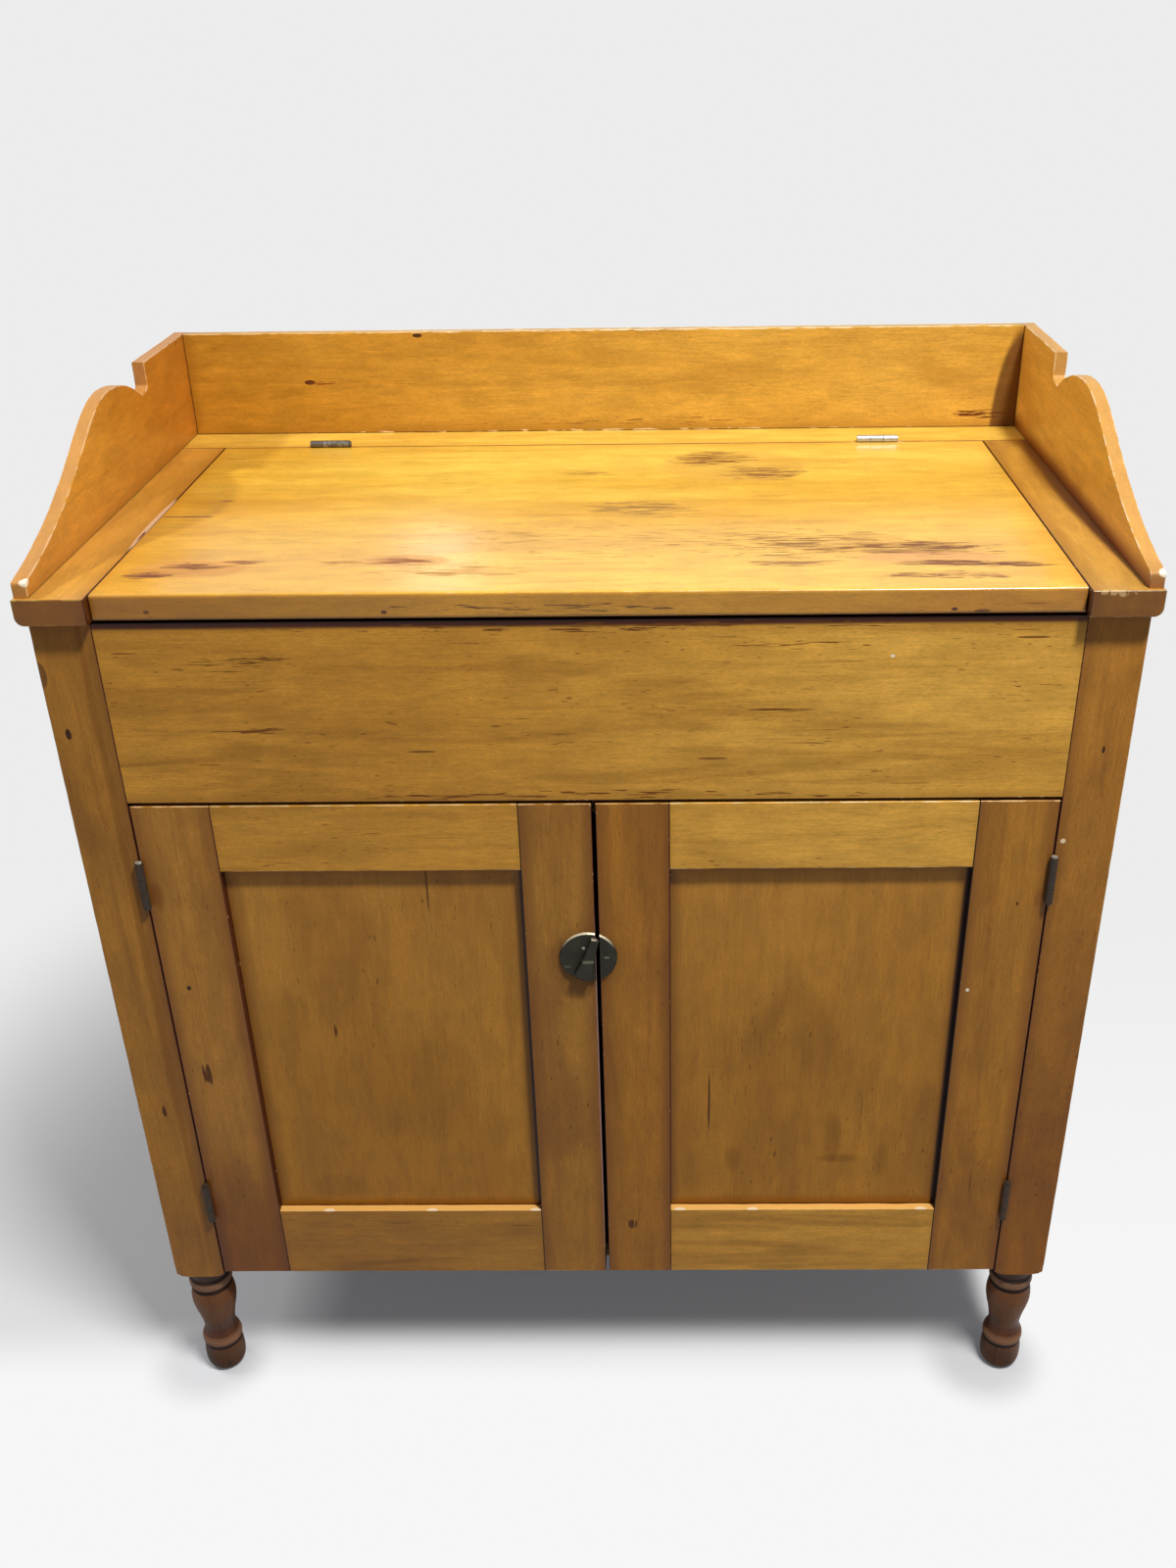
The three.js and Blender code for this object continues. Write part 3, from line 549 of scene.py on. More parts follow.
# A worn board stands for its node: faces lists the outer faces whose arrises are rounded,
# joints the sides that meet a neighbour, and pitch how closely it is cut along each axis
def wornBoard(node, look, grain, faces, joints, pitch, seed, marks=(), chips=(), stored=False, fades=()):
    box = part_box(node)
    mesh = wornMesh(node + "_worn", mergedCopy(node), box, faces, joints, pitch, chips)

    def distances(place):
        return storedDistances(place) if stored else boardDistances(place, box, faces, joints)

    material = woodMaterial(node + "_wood", look, grain, seed, marks, distances, fades)
    return addPiece(node + "_worn", mesh, material, bodyOf(node), nodeSlots[node], [node])


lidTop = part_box("lid_board")[1].z
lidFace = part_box("lid_board")[0].y
onLidFace = partial(onFace, lidFace)
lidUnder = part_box("lid_board")[0].z


def onTop(x, y, wide, deep, *rest, **more):
    return markAt((x * mm, y * mm, lidTop), (wide * mm, deep * mm, 4 * mm), *rest, **more)


lidMarks = [
    onTop(-360, -203, 60, 24, "C07A40", 0.4),
    onTop(-392, -219, 36, 14, "6E3510", density=0.35, along=26.0),
    onTop(-354, -197, 42, 15, "6E3510", density=0.34, along=26.0),
    onTop(-315, -186, 30, 9, "8A5420", density=0.34),
    onTop(-168, -186, 46, 18, "C48A5C", 0.4),
    onTop(-172, -186, 46, 17, "8E5222", density=0.33),
    onTop(-225, -190, 35, 8, "9A6428", density=0.32),
    onTop(-120, -214, 100, 25, "B07C34", density=0.27),
    onTop(145, 112, 85, 65, "CC9040", 0.4),
    onTop(118, 142, 64, 40, "7E4C16", density=0.33),
    onTop(172, 85, 66, 38, "7E4C16", density=0.32),
    onTop(40, -36, 80, 32, "8E6426", density=0.3),
    onTop(200, -150, 130, 60, "8E6028", density=0.27),
    onTop(300, -166, 115, 34, "744214", density=0.32),
    onTop(305, -189, 75, 15, "D99A66", 0.6),
    onTop(325, -205, 75, 12, "642E10", density=0.4, along=20.0),
    onTop(380, -210, 50, 12, "6E3C12", density=0.35),
    onTop(182, -203, 65, 14, "8E5E2A", density=0.31),
    onTop(0, -120, 420, 120, "A87A30", density=0.16, along=40.0),
    onTop(310, -235, 110, 14, "7C4A1C", density=0.25),
    onTop(-400, -50, 36, 4, "8A5420", density=0.4),
    onTop(-378, 0, 14, 6, "8A5420", density=0.36),
    onTop(-12, 88, 45, 14, "A06A20", density=0.31),
    onLidFace(-380.5, 958.8, 3, 1.8, "3A1A08"),
    onLidFace(-175, 957, 3, 1.8, "4A260C"),
    onLidFace(316, 955.5, 3, 1.8, "4A260C"),
    onLidFace(340, 953.5, 8, 1.8, "3A1A08", 0.8),
    onLidFace(-20, 960, 200, 8, "6A4418", density=0.24),
    onLidFace(-420, 957, 300, 40, "8A6020", 0.35, full=1.0),
]
lidFades = [
    fadeAlong("Z", lidUnder + 1.4 * mm, lidUnder + 0.6 * mm, "B08C78"),
    fadeAlong("X", -0.1, -0.42, "F4EBCE"),
    fadeAlong("Y", 0.16, -0.12, "F8EBDC"),
    # Painted shade on the lid's front face, which the light from above reaches less than the top
    fadeAlong("Y", lidFace + 1.2 * mm, lidFace + 0.6 * mm, "D6C196"),
]
# Chips out of the lid's front arris: place, half width and bite
lidChips = [
    {"at": (x, lidFace, lidTop), "size": (wide, 0.01, 0.01), "bite": bite}
    for x, wide, bite in ((0.39, 0.014, 1.6), (-0.165, 0.006, 1.6), (-0.02, 0.005, 1.3), (-0.27, 0.02, 0.7))
]
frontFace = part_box("sink_front_board")[0].y
onFront = partial(onFace, frontFace)
frontMarks = [
    onFront(-154, 820.9, 14, 1.4, "6A3A12", 0.8),
    onFront(388, 927.6, 16, 1.4, "6A3A12", 0.8),
    onFront(266.7, 911.2, 2, 1.6, "FFF6DC"),
    onFront(110, 812, 16, 1.2, "6A3A12", 0.8),
    onFront(173.4, 859.2, 50, 4, "7A4A14", density=0.3, along=14.0),
    onFront(-300, 842, 60, 6, "7A4A16", density=0.24),
    onFront(190, 922, 90, 8, "7A4A16", density=0.22),
    onFront(-310, 910, 90, 14, "7E5218", density=0.19),
    onFront(0, 776, 450, 8, "7A4614", density=0.21),
    onFront(30, 941, 420, 7, "6E4012", density=0.23),
]
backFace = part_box("backsplash")[0].y
onBack = partial(onFace, backFace)
backMarks = [
    onBack(-338, 1033, 7, 3, "5E2C0E"),
    onBack(-325, 1031, 20, 6, "8A4A14", density=0.3),
    onBack(430, 990, 50, 8, "6E3C10", density=0.32),
    onBack(50, 985, 300, 8, "7A4612", density=0.19),
    onBack(-210, 1084, 6, 2.5, "4A2410"),
    # Painted shadow of the right gallery board on the backsplash's right end
    onBack(478, 965, 32, 125, "4A1C0C", 0.8, full=0.25),
    markAt((0.0, backFace, 1.088), (0.5, 0.02, 0.0022), "F6D8A8", density=0.24, along=60.0),
    onBack(0, 975.5, 500, 1.8, "F6D8A8", density=0.22, along=60.0),
]
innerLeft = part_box("top_left_board")[1].x
leftMarks = [
    # A pale streak on the left board's inner top arris: partly wear, partly a painted highlight
    markAt((innerLeft, -0.07, lidTop), (0.005, 0.085, 0.003), "EEC298", 0.75),
    markAt((innerLeft, -0.11, lidTop), (0.003, 0.03, 0.003), "8A4A28", density=0.4),
]
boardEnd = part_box("top_left_board")[0].y
sideFades = [fadeAlong("Y", boardEnd + 1.2 * mm, boardEnd + 0.6 * mm, "AA9244")]
wear = {"density": 0.42, "across": 190.0, "strength": 0.7}
worn = markAt((0.449, boardEnd, 0.9735), (0.02, 0.005, 0.006), "D8B47C", **wear)
# Painted shade: the backsplash is darker and redder towards the left, where less light falls
backLeftShade = [fadeAlong("X", 0.36, -0.46, "EADAB0")]
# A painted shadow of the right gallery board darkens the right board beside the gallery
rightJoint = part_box("right_gallery_board")[0].x
galleryShadow = markAt((rightJoint, 0.02, lidTop), (0.014, 0.27, 0.004), "7A3E1A", 0.75, full=0.6)
# The right board keeps the darker front end and gets painted shade all over
rightEndsAndShade = sideFades + [overall("EFF6FF")]
# Painted shade at the foot of the right gallery board, where it meets the top
rightWallShade = [fadeAlong("Z", lidTop + 22 * mm, lidTop, "A8703E")]


# The sawn edge of a gallery board is paler than its sides
def sawnEdge(node):
    low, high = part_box(node)
    half = (high.x - low.x) / 2
    tip = markAt((high.x, low.y, lidTop + 14 * mm), (7 * mm, 9 * mm, 5 * mm), "FFF0D6", full=0.5)
    edge = markAt((middleOf(node).x, 0, 1.0), (half, 9, 9), "C08A54", 0.5, depth=0.0)
    return [edge, tip]


leftWallFades = [fadeAlong("Z", 0.9, 0.91, "F4E6D6"), fadeAlong("Y", -0.15, 0.2, "F0E4DC")]
# Painted shade: the front boards and rails are darker towards the left, where less light falls
frontLeftShade = [fadeAlong("X", 0.38, -0.38, "E7DBC8")]
# Painted shadow of the lid: a dark band along the top of the sink front
lidShadowBand = [fadeAlong("Z", 0.9395, 0.9435, "5E3820")]
# How closely boards are cut: along the grain, where the wear waves, and across wide faces
fine, wide = 5 * mm, 14 * mm
acrossPitch, alongPitch, upPitch = (fine, 0, 0), (0, fine, 0), (0, 0, fine)


def buildTop():
    lidPitch = (fine, wide, 0)
    wornBoard("lid_board", lidWood, "x", "z+ y-", "x- x+ y+", lidPitch, 1, lidMarks, lidChips, fades=lidFades)
    wornBoard("top_rear_strip", lidWood, "x", "z+", "y- x- x+", (wide, 0, 0), 2)
    side = (sideTopWood, "y")
    wornBoard("top_left_board", *side, "z+ y- x-", "x+", alongPitch, 3, leftMarks, fades=sideFades)
    wornBoard("top_right_board", *side, "z+ y- x+", "x-", alongPitch, 4, [worn, galleryShadow], fades=rightEndsAndShade)
    backPitch = (fine, 0, wide)
    wornBoard("backsplash", backWood, "x", "y- y+", "x- x+ z-", backPitch, 5, backMarks, fades=backLeftShade)
    wallPitch = (3.3 * mm, fine, fine)
    for seed, hand, fades in ((6, "left", leftWallFades), (7, "right", rightWallShade)):
        node = hand + "_gallery_board"
        edge = sawnEdge(node)
        wornBoard(node, galleryWood, "y", "x- x+", "z- y+", wallPitch, seed, edge, stored=True, fades=fades)
    sides, frontPitch = "x- x+ z+ z-", (wide, 0, wide)
    fades = frontLeftShade + lidShadowBand
    wornBoard("sink_front_board", frontWood, "x", "y-", sides, frontPitch, 8, frontMarks, fades=fades)
    print("top, gallery and sink front made")


buildTop()


# The doors: stiles run upright, rails across, and the panel lies back in its groove
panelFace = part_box("left_door_panel")[0].y
onPanel = partial(onFace, panelFace)


def smudge(x, z, wide, tall, strength=0.4):
    return onPanel(x, z, wide, tall, "6A4012", strength, full=1.0)


panelMarks = {
    "left": [
        onPanel(-163.4, 671, 1.2, 30, "5A3412", 0.8),
        onPanel(-270.7, 498.6, 4, 11, "6A3F16", density=0.45),
        smudge(-200, 420, 80, 100, 0.16),
        smudge(-290, 290, 40, 20, 0.25),
    ],
    "right": [
        onPanel(111.3, 403, 1.1, 43, "43240C"),
        smudge(243, 352, 12, 45),
        smudge(250, 326, 30, 8),
        smudge(137, 325, 12, 22),
        smudge(297, 325, 10, 30, 0.3),
        smudge(200, 500, 60, 70, 0.15),
    ],
}
stileMarks = {
    "left": [
        onFront(-408, 452, 6, 18, "5A3312", density=0.4),
        onFront(-409, 560, 2.5, 3, "3A1E0A"),
        onFront(-422, 668, 8, 20, "6E3008", 0.45, full=0.9),
        onFront(-424, 260, 9, 20, "6E3008", 0.35, full=0.9),
    ],
    "right": [
        onFront(366, 553, 2, 2.2, "FFF6DC"),
        onFront(404.1, 653.8, 1.5, 2.2, "5A3312"),
        onFront(424, 660, 6, 14, "6E3008", 0.3, full=0.9),
    ],
}
# A stain round the latch, and below it to the left a painted shadow of the handle
latchHaloAndShadow = [
    onFront(-11.5, 592, 42, 44, "5E3810", 0.38, full=0.7),
    onFront(-22, 563, 20, 22, "50300E", 0.35),
]
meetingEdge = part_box("left_door_lock_stile")[1].x
# A painted highlight along the meeting arris of the left door's lock stile
meeting = markAt((meetingEdge, frontFace, 0.42), (0.0016, 0.004, 0.24), "B48E84", 0.7)
lockMarks = {
    "left": latchHaloAndShadow + [meeting],
    "right": latchHaloAndShadow + [onFront(29, 241, 8, 10, "5A3312", density=0.38)],
}
# Painted shade: the stiles and panels grow darker and less blue towards the bottom, where less light falls
stileFades = {
    "left": [fadeAlong("Z", 0.44, 0.19, "C6AA56")],
    "right": [overall("F6F3DC"), fadeAlong("Z", 0.6, 0.24, "FFF8B5")],
}
downwardShade = fadeAlong("Z", 0.6, 0.24, "FFFAC7")
lockFades = {"left": [overall("F0F1EC"), downwardShade], "right": [overall("EEE6C4"), downwardShade]}
panelFades = [fadeAlong("Z", 0.75, 0.27, "F6F0BB")]
ledgeChips = {"left": (-0.303, -0.19, -0.077), "right": (0.081, 0.16, 0.343)}
# Painted shade on the bottom rails, the left one darker
bottomRailShade = {"left": "D8CEBE", "right": "EEE6D4"}
# Painted shade on the wall of a door's frame that faces left, and a painted shadow on the panel beside its
# right groove
grooveDepth = 9.2 * mm


def buildDoors():
    for start, hand in ((10, "left"), (17, "right")):
        door = hand + "_door_"
        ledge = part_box(door + "bottom_rail")[1].z
        size = (0.007, 0.004, 0.0012)
        chipped = [markAt((x, frontFace, ledge), size, "FFEBC8", 0.8) for x in ledgeChips[hand]]
        shadedWall = "lock_stile" if hand == "left" else "hinge_stile"
        # Painted light on the top of the bottom rail, which faces the light above
        ledgeLight = fadeAlong("Z", ledge - 1.0 * mm, ledge - 0.3 * mm, "FFC46C", 0.85, "MIX")
        low = frontLeftShade + [overall(bottomRailShade[hand]), ledgeLight]
        rows = (
            ("hinge_stile", doorWood, "z", upPitch, stileMarks[hand], stileFades[hand]),
            ("lock_stile", doorWood, "z", upPitch, lockMarks[hand], lockFades[hand]),
            ("top_rail", frontWood, "x", acrossPitch, (), frontLeftShade),
            ("bottom_rail", frontWood, "x", acrossPitch, chipped, low),
        )
        for i, (name, look, grain, pitch, marks, fades) in enumerate(rows):
            # Painted shade on the wall of the frame that faces left
            if name == shadedWall:
                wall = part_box(door + name)[0].x
                fades = fades + [fadeAlong("X", wall + 1.1 * mm, wall + 0.5 * mm, "3A160C")]
            wornBoard(door + name, look, grain, "y- z+", "x- x+", pitch, start + i, marks, fades=fades)
        buildPanel(door + "panel", start + 4, panelMarks[hand])
    print("doors made")


# A panel keeps its mesh, and its joints show where it enters the groove
def buildPanel(node, seed, marks):
    low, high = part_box(node)
    inset = Vector((grooveDepth, 0, grooveDepth))
    seen = (low + inset, high - inset)

    def distances(place):
        return boardDistances(place, seen, "", "x- x+ z- z+")

    # Painted shadow of the frame on the panel beside its right groove
    right = fadeAlong("X", seen[1].x - 4.5 * mm, seen[1].x - 1.5 * mm, "5A2A16")
    material = woodMaterial(node + "_wood", panelWood, "z", seed, marks, distances, panelFades + [right])
    dressNode(frame["nodes"][node], material)


# A node keeps its mesh and gets its material
def dressNode(node, material):
    for slot in node.material_slots:
        slot.material = material
    node.modifiers.new("weld", "WELD").merge_threshold = weldReach


buildDoors()

# A turned foot as shares of its height and of half the post's width, from the floor up
footProfile = [
    (0.0, 0.406), (0.022, 0.7), (0.078, 0.82), (0.15, 0.83), (0.205, 0.8), (0.24, 0.72),
    (0.252, 0.79), (0.28, 0.83), (0.312, 0.8), (0.342, 0.7), (0.385, 0.65),
    (0.43, 0.66), (0.525, 0.75), (0.615, 0.87), (0.68, 0.915), (0.75, 0.88), (0.808, 0.76),
    (0.822, 0.85), (0.85, 0.89), (0.88, 0.865), (0.898, 0.79), (0.925, 0.81), (0.965, 0.87), (1.0, 0.96),
]
footCreases = (0.24, 0.808, 0.898)
footShape = {
    "Segments": 64, "Rows": 200, "Height": 161.5 * mm, "Shoulder": 6 * mm, "Seam": 176 * mm,
    "HalfWidth": 27.1 * mm, "CornerCut": 0.6 * mm,
}


# The curve that gives the foot's radius from its height
def addFootCurve(tree, share):
    curve = addNode(tree, "ShaderNodeFloatCurve", {"Factor": 1.0, "Value": share})
    line = curve.mapping.curves[0]
    for height, radius in footProfile[1:-1]:
        line.points.new(height, radius)
    line.points[0].location = footProfile[0]
    line.points[-1].location = footProfile[-1]
    for point in line.points:
        if any(abs(point.location[0] - crease) < 0.002 for crease in footCreases):
            point.handle_type = "VECTOR"
    curve.mapping.update()
    return Value(tree, curve.outputs[0])


# The end of a nodes tree: its geometry made real, with its material
def endGeometry(tree, geometry, material):
    real = addValue(tree, "GeometryNodeRealizeInstances", {"Geometry": geometry})
    finished = addValue(tree, "GeometryNodeSetMaterial", {"Geometry": real, "Material": material})
    addNode(tree, "NodeGroupOutput", {0: finished})
    return tree


# A nodes tree that turns a cylinder to the profile and keeps it within the square of the post
def buildFootTree():
    tree = bpy.data.node_groups.new("turnedFoot", "GeometryNodeTree")
    names = "Height Shoulder Seam HalfWidth CornerCut"
    addSockets(tree, "INPUT", {"Float": names, "Int": "Segments Rows", "Material": "Material"})
    addSockets(tree, "OUTPUT", {"Geometry": "Geometry"})
    start = addValues(tree, "NodeGroupInput")
    half = start["HalfWidth"]
    turned = addValue(tree, "GeometryNodeMeshCylinder", {
        "Vertices": start["Segments"], "Side Segments": start["Rows"], "Radius": 1.0, "Depth": 1.0,
    })
    place = addValue(tree, "GeometryNodeInputPosition").axes()
    level = (place["Z"] + 0.5) * start["Seam"]
    radius = addFootCurve(tree, (level / start["Height"]).atMost(1.0)) * half
    rise = 1.0 - ((level - start["Height"]) / start["Shoulder"]).atLeast(0.0).atMost(1.0)
    flare = (1.0 - rise * rise).calc("SQRT")
    radius = (half * math.sqrt(2) - start["CornerCut"] - radius) * flare + radius
    spots = {"Z": level}
    for axis in "XY":
        spots[axis] = (place[axis] * radius).atMost(half).atLeast(half * -1.0)
    spots = addValue(tree, "ShaderNodeCombineXYZ", spots)
    shaped = addValue(tree, "GeometryNodeSetPosition", {"Geometry": turned, "Position": spots})
    return endGeometry(tree, shaped, start["Material"])


# The mesh that a nodes tree makes from a start mesh, with the tree's inputs given by name
def meshFromTree(name, tree, values, source=None):
    holder = newObject(name + "_holder", source or bpy.data.meshes.new(name + "_start"))
    modifier = holder.modifiers.new(tree.name, "NODES")
    modifier.node_group = tree
    sockets = {item.name: item.identifier for item in tree.interface.items_tree if item.in_out == "INPUT"}
    for key, value in values.items():
        modifier[sockets[key]] = value
    holder.update_tag()
    bpy.context.view_layer.update()
    seen = bpy.context.evaluated_depsgraph_get()
    made = bpy.data.meshes.new_from_object(holder.evaluated_get(seen), depsgraph=seen)
    made.name = name
    bpy.data.objects.remove(holder)
    return made


# Rings of painted shade and painted highlight on a foot, darker in the grooves and the cove, paler on the
# ring and the bead: height, reach, tone and strength
footShadeAndHighlight = [
    (0.96, 0.06, "2A1508", 0.7), (0.24, 0.018, "140603", 1.0), (0.3, 0.035, "A87A5A", 0.55),
    (0.36, 0.05, "4E2614", 0.5), (0.68, 0.2, "7C4C24", 0.5), (0.802, 0.022, "1C0A04", 0.95),
    (0.855, 0.03, "A27C62", 0.5), (0.9, 0.014, "1C0A04", 0.9),
]


def footMarks(middle):
    height = footShape["Height"]
    return [
        markAt((*middle, share * height), (1.0, 1.0, reach * height), tone, strength, depth=0.0)
        for share, reach, tone, strength in footShadeAndHighlight
    ]


postMarks = {
    "left": [
        onFront(-473, 841, 3, 6, "3A1E0A"),
        onFront(-460, 402, 4, 12, "4A2810", density=0.45),
        onFront(-445, 600, 4, 500, "84501A", 0.4),
        markAt((-0.486, frontFace, 0.899), (0.006, 0.006, 0.014), "6A4424", 0.8),
    ],
    "right": [
        onFront(439, 723, 2.8, 2.8, "F4DDB4"),
        onFront(463.5, 817.8, 1.6, 4, "3A1E0A"),
    ],
}
# Painted shade: the posts grow darker and less blue towards the bottom, where less light falls
postFades = {
    "left": [overall("F4F4F0"), fadeAlong("Z", 0.6, 0.2, "FFFCDC")],
    "right": [fadeAlong("Z", 0.7, 0.2, "DCC873")],
}


def buildPosts():
    s = footShape
    footTree = buildFootTree()
    for i, (depth, hand) in enumerate((d, h) for d in ("front", "rear") for h in ("left", "right")):
        node = f"{depth}_{hand}_post"
        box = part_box(node)
        outer, inner = ("x-", "x+") if hand == "left" else ("x+", "x-")
        face = "y-" if depth == "front" else "y+"
        middle = middleOf(node).xy
        marks = postMarks[hand] if depth == "front" else []
        mesh = mergedCopy(node)
        cut(mesh, (0, 0, s["Seam"]), (0, 0, 1), clear_inner=True)
        bmesh.ops.holes_fill(mesh, edges=[edge for edge in mesh.edges if edge.is_boundary])
        square = (Vector((box[0].x, box[0].y, s["Seam"])), box[1])
        made = wornMesh(node + "_worn", mesh, square, f"{face} {outer}", f"{inner} z+", upPitch, skip="z-")

        def distances(place):
            return boardDistances(place, box, f"{face} {outer}", f"{inner} z+")

        fades = postFades[hand]
        material = woodMaterial(node + "_wood", postWood, "z", 30 + i, marks, distances, fades)
        addPiece(node + "_worn", made, material, "case", nodeSlots[node], [node])
        footLook = woodMaterial(f"{depth}_{hand}_foot_wood", footWood, "z", 40 + i, footMarks(middle))
        foot = meshFromTree(f"{depth}_{hand}_turned_foot", footTree, dict(s, Material=footLook))
        foot.transform(Matrix.Translation((*middle, 0)))
        foot.shade_smooth()
        foot.set_sharp_from_angle(angle=softAngle)
        addPiece(foot.name, foot, footLook, "case", nodeSlots[node])
        foot.materials.append(material)
        for polygon in foot.polygons:
            polygon.material_index = int(polygon.center.z > s["Height"])
    print("posts and feet made")


buildPosts()


# Boards that keep their own mesh: the sides, the inside and the back, by the way of their grain
plainBoards = (
    ("z", "left_side_board right_side_board"), ("y", "left_top_rail right_top_rail"),
    ("x", "sink_floor cupboard_shelf cupboard_floor door_head_rail"),
    ("x", "front_bottom_rail rear_bottom_rail rear_top_rail"),
    ("z", "back_board_1 back_board_2 back_board_3"), ("y", "left_lid_batten right_lid_batten"),
)


def finishPlainBoards():
    rows = [(grain, node) for grain, nodes in plainBoards for node in nodes.split()]
    for seed, (grain, node) in enumerate(rows, 50):
        look = sideWood if "side_board" in node else insideWood
        material = woodMaterial(node + "_wood", look, grain, seed)
        softenNode(frame["nodes"][node], material, arrisShape["radius"])
    print("inside and back finished")


# A node gets its material and slightly rounded edges
def softenNode(node, material, radius, segments=2):
    dressNode(node, material)
    bevel = node.modifiers.new("softEdges", "BEVEL")
    bevel.width = radius
    bevel.segments = segments
    bevel.limit_method = "ANGLE"
    bevel.angle_limit = softAngle


finishPlainBoards()

# Metal that has darkened, with brighter rubbed places: its dark, light and rust tones
def metalLook(tones, metallic, roughness, rubbed):
    looks = dict(zip(("dark", "light", "rust"), tones.split()))
    return dict(looks, metallic=metallic, roughness=roughness, rubbed=rubbed)


doorIron = metalLook("2E2115 54402C 5E3416", 0.1, 0.68, 0.35)
# The upper door hinges' pins are painted pale, a painted highlight for their lit caps
pinHighlight = metalLook("8A8072 F2EADC 8A7A68", 0.1, 0.68, 0.9)
# The lid hinges are lit and shaded copies of one steel: the left one painted as in shade, the right one as
# lit
shadedSteel = metalLook("6A645C BDB8AE 5A4634", 0.8, 0.36, 0.5)
litSteel = metalLook("B4B0A8 F0EEE8 7A6A58", 0.8, 0.36, 0.8)
latchBronze = metalLook("1C190B 3E3922 261F10", 0.45, 0.44, 0.4)
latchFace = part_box("latch_plate")[0].y
onLatch = partial(onFace, latchFace)
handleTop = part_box("latch_knob")[1].z
handleX = middleOf("latch_knob").x
# A painted highlight on the top arc of the rims of the plate and keeper
latchRimHighlight = {
    "centre": (-0.0092, 0, 0.596), "inner": 26.9 * mm, "outer": 27.6 * mm, "low": 8 * mm, "high": 26 * mm,
    "tone": "D8CCAC", "strength": 0.9,
}
hingeEdge = 0.25 * mm
latchEdge = {"width": 0.9 * mm, "segments": 3}
latchMarks = {
    "latch_plate": [
        onLatch(-13.6, 607.7, 1.8, 1.8, "A8A490"),
        onLatch(-30, 586, 4, 1.4, "55604E", 0.6),
    ],
    "latch_keeper": [
        onLatch(8.8, 596.5, 3, 1, "8A8672", 0.7),
    ],
    "latch_knob": [
        # Painted highlights on the handle's top end and on its ridge, and painted shade on its upper facet
        markAt((handleX + 0.009, 0, handleTop), (0.006, 1, 0.0022), "8C826C"),
        markAt((handleX + 0.002, 0, 0.5975), (0.009, 1, 0.0018), "6E6A56", 0.8),
        markAt((handleX + 0.003, 0, 0.608), (0.008, 1, 0.008), "241E16", 0.6),
    ],
}
metalNoises = {
    "patches": (130.0, 130.0, 4.0, 0.5),
    "grains": (900.0, 900.0, 3.0),
    "stains": (60.0, 60.0, 3.0, 0.0, (2.2, 4.4, 1.3)),
}
# Where metal is rubbed and stained, how strong the rust is, and how uneven the surface
metalFigure = {
    "rubbed": (0.45, 0.75), "stained": (0.55, 0.75), "rust": 0.6,
    "gloss": 0.25, "smoother": 0.08, "bump": 0.3, "relief": 0.15 * mm, "grainHeight": 0.4,
}


def metalMaterial(name, look, seed, marks=(), rim=None):
    s = metalFigure
    material, tree, place = newMaterial(name)
    coords = place.vector("ADD", (0.61 * seed, 0.37 * seed, 0.83 * seed))
    patches, grains, stains = (cloud(coords, *metalNoises[key]) for key in ("patches", "grains", "stains"))
    rubbed = patches.ramp(*s["rubbed"]) * look["rubbed"]
    colour = mixColour(tree, rubbed, tint(look["dark"]), tint(look["light"]))
    colour = colour.mixed(stains.ramp(*s["stained"]) * s["rust"], tint(look["rust"]))
    for mark in marks:
        colour = colour.mixed(markShare(coords, place, mark), tint(mark["tone"]))
    # A painted highlight along the upper part of a rim
    if rim:
        offset = place.vector("SUBTRACT", rim["centre"])
        away = offset.vector("MULTIPLY", (1.0, 0.0, 1.0)).vector("LENGTH")
        level = offset.axes()["Z"]
        share = away.ramp(rim["inner"], rim["outer"]) * level.ramp(rim["low"], rim["high"]) * rim["strength"]
        colour = colour.mixed(share, tint(rim["tone"]))
    height = grains * s["grainHeight"] + patches
    bump = {"Strength": s["bump"], "Distance": s["relief"], "Height": height}
    fill(tree, tree.nodes["Principled BSDF"], {
        "Base Color": colour, "Roughness": patches * s["gloss"] + (look["roughness"] - s["smoother"]),
        "Metallic": look["metallic"], "Normal": addValue(tree, "ShaderNodeBump", bump),
    })
    return material


# The handle's outer edges are rounded, and the corner between it and its spindle stays square
def buildHandle(material):
    mesh = mergedCopy("latch_knob")
    roundEdges(mesh, convexEdges(mesh), latchEdge["width"], latchEdge["segments"], True)
    made = newMesh("latch_handle", mesh)
    addPiece("latch_handle", made, material, bodyOf("latch_knob"), "latch_metal", ("latch_knob",))


def finishMetal():
    made = {
        "door": metalMaterial("door_hinge_iron", doorIron, 1),
        "pin": metalMaterial("hinge_pin_iron", pinHighlight, 2),
        "lid_left": metalMaterial("left_lid_hinge_steel", shadedSteel, 3),
        "lid_right": metalMaterial("right_lid_hinge_steel", litSteel, 4),
        "latch": metalMaterial("latch_bronze", latchBronze, 5),
    }
    for name, node in frame["nodes"].items():
        if "hinge" in name and "stile" not in name:
            kind = "door" if "_door_" in name else name[: name.index("_hinge")]
            softenNode(node, made["pin" if name.endswith("door_upper_hinge_pin") else kind], hingeEdge)
        if name.startswith("latch_"):
            marks = latchMarks.get(name, ())
            rim = latchRimHighlight if name in ("latch_plate", "latch_keeper") else None
            bronze = metalMaterial(name + "_bronze", latchBronze, 5, marks, rim)
            if name == "latch_knob":
                buildHandle(bronze)
            else:
                softenNode(node, bronze, latchEdge["width"], latchEdge["segments"])
    print("metal finished")
    return made


metals = finishMetal()

# Slotted screws: their size, and where they stand, with the turn of each slot in degrees
screwShape = {"Head": 2.6 * mm, "Length": 0.7 * mm, "Slot": 0.7 * mm, "Sides": 20}
screwPlan = {
    "proud": 0.25 * mm, "leafGap": 0.4 * mm, "fromEdge": 7 * mm,
    "doorSteps": ((-17 * mm, 0, 0), (0, 3 * mm, 40), (17 * mm, 0, 80)), "farTurn": 25,
    "lidSteps": ((-15 * mm, 30), (0, 80), (15 * mm, 130)),
    "latch": (("left", -0.0287, 0.5912, 60), ("right", 0.0083, 0.6005, 0), ("right", 0.008, 0.5789, 75)),
}


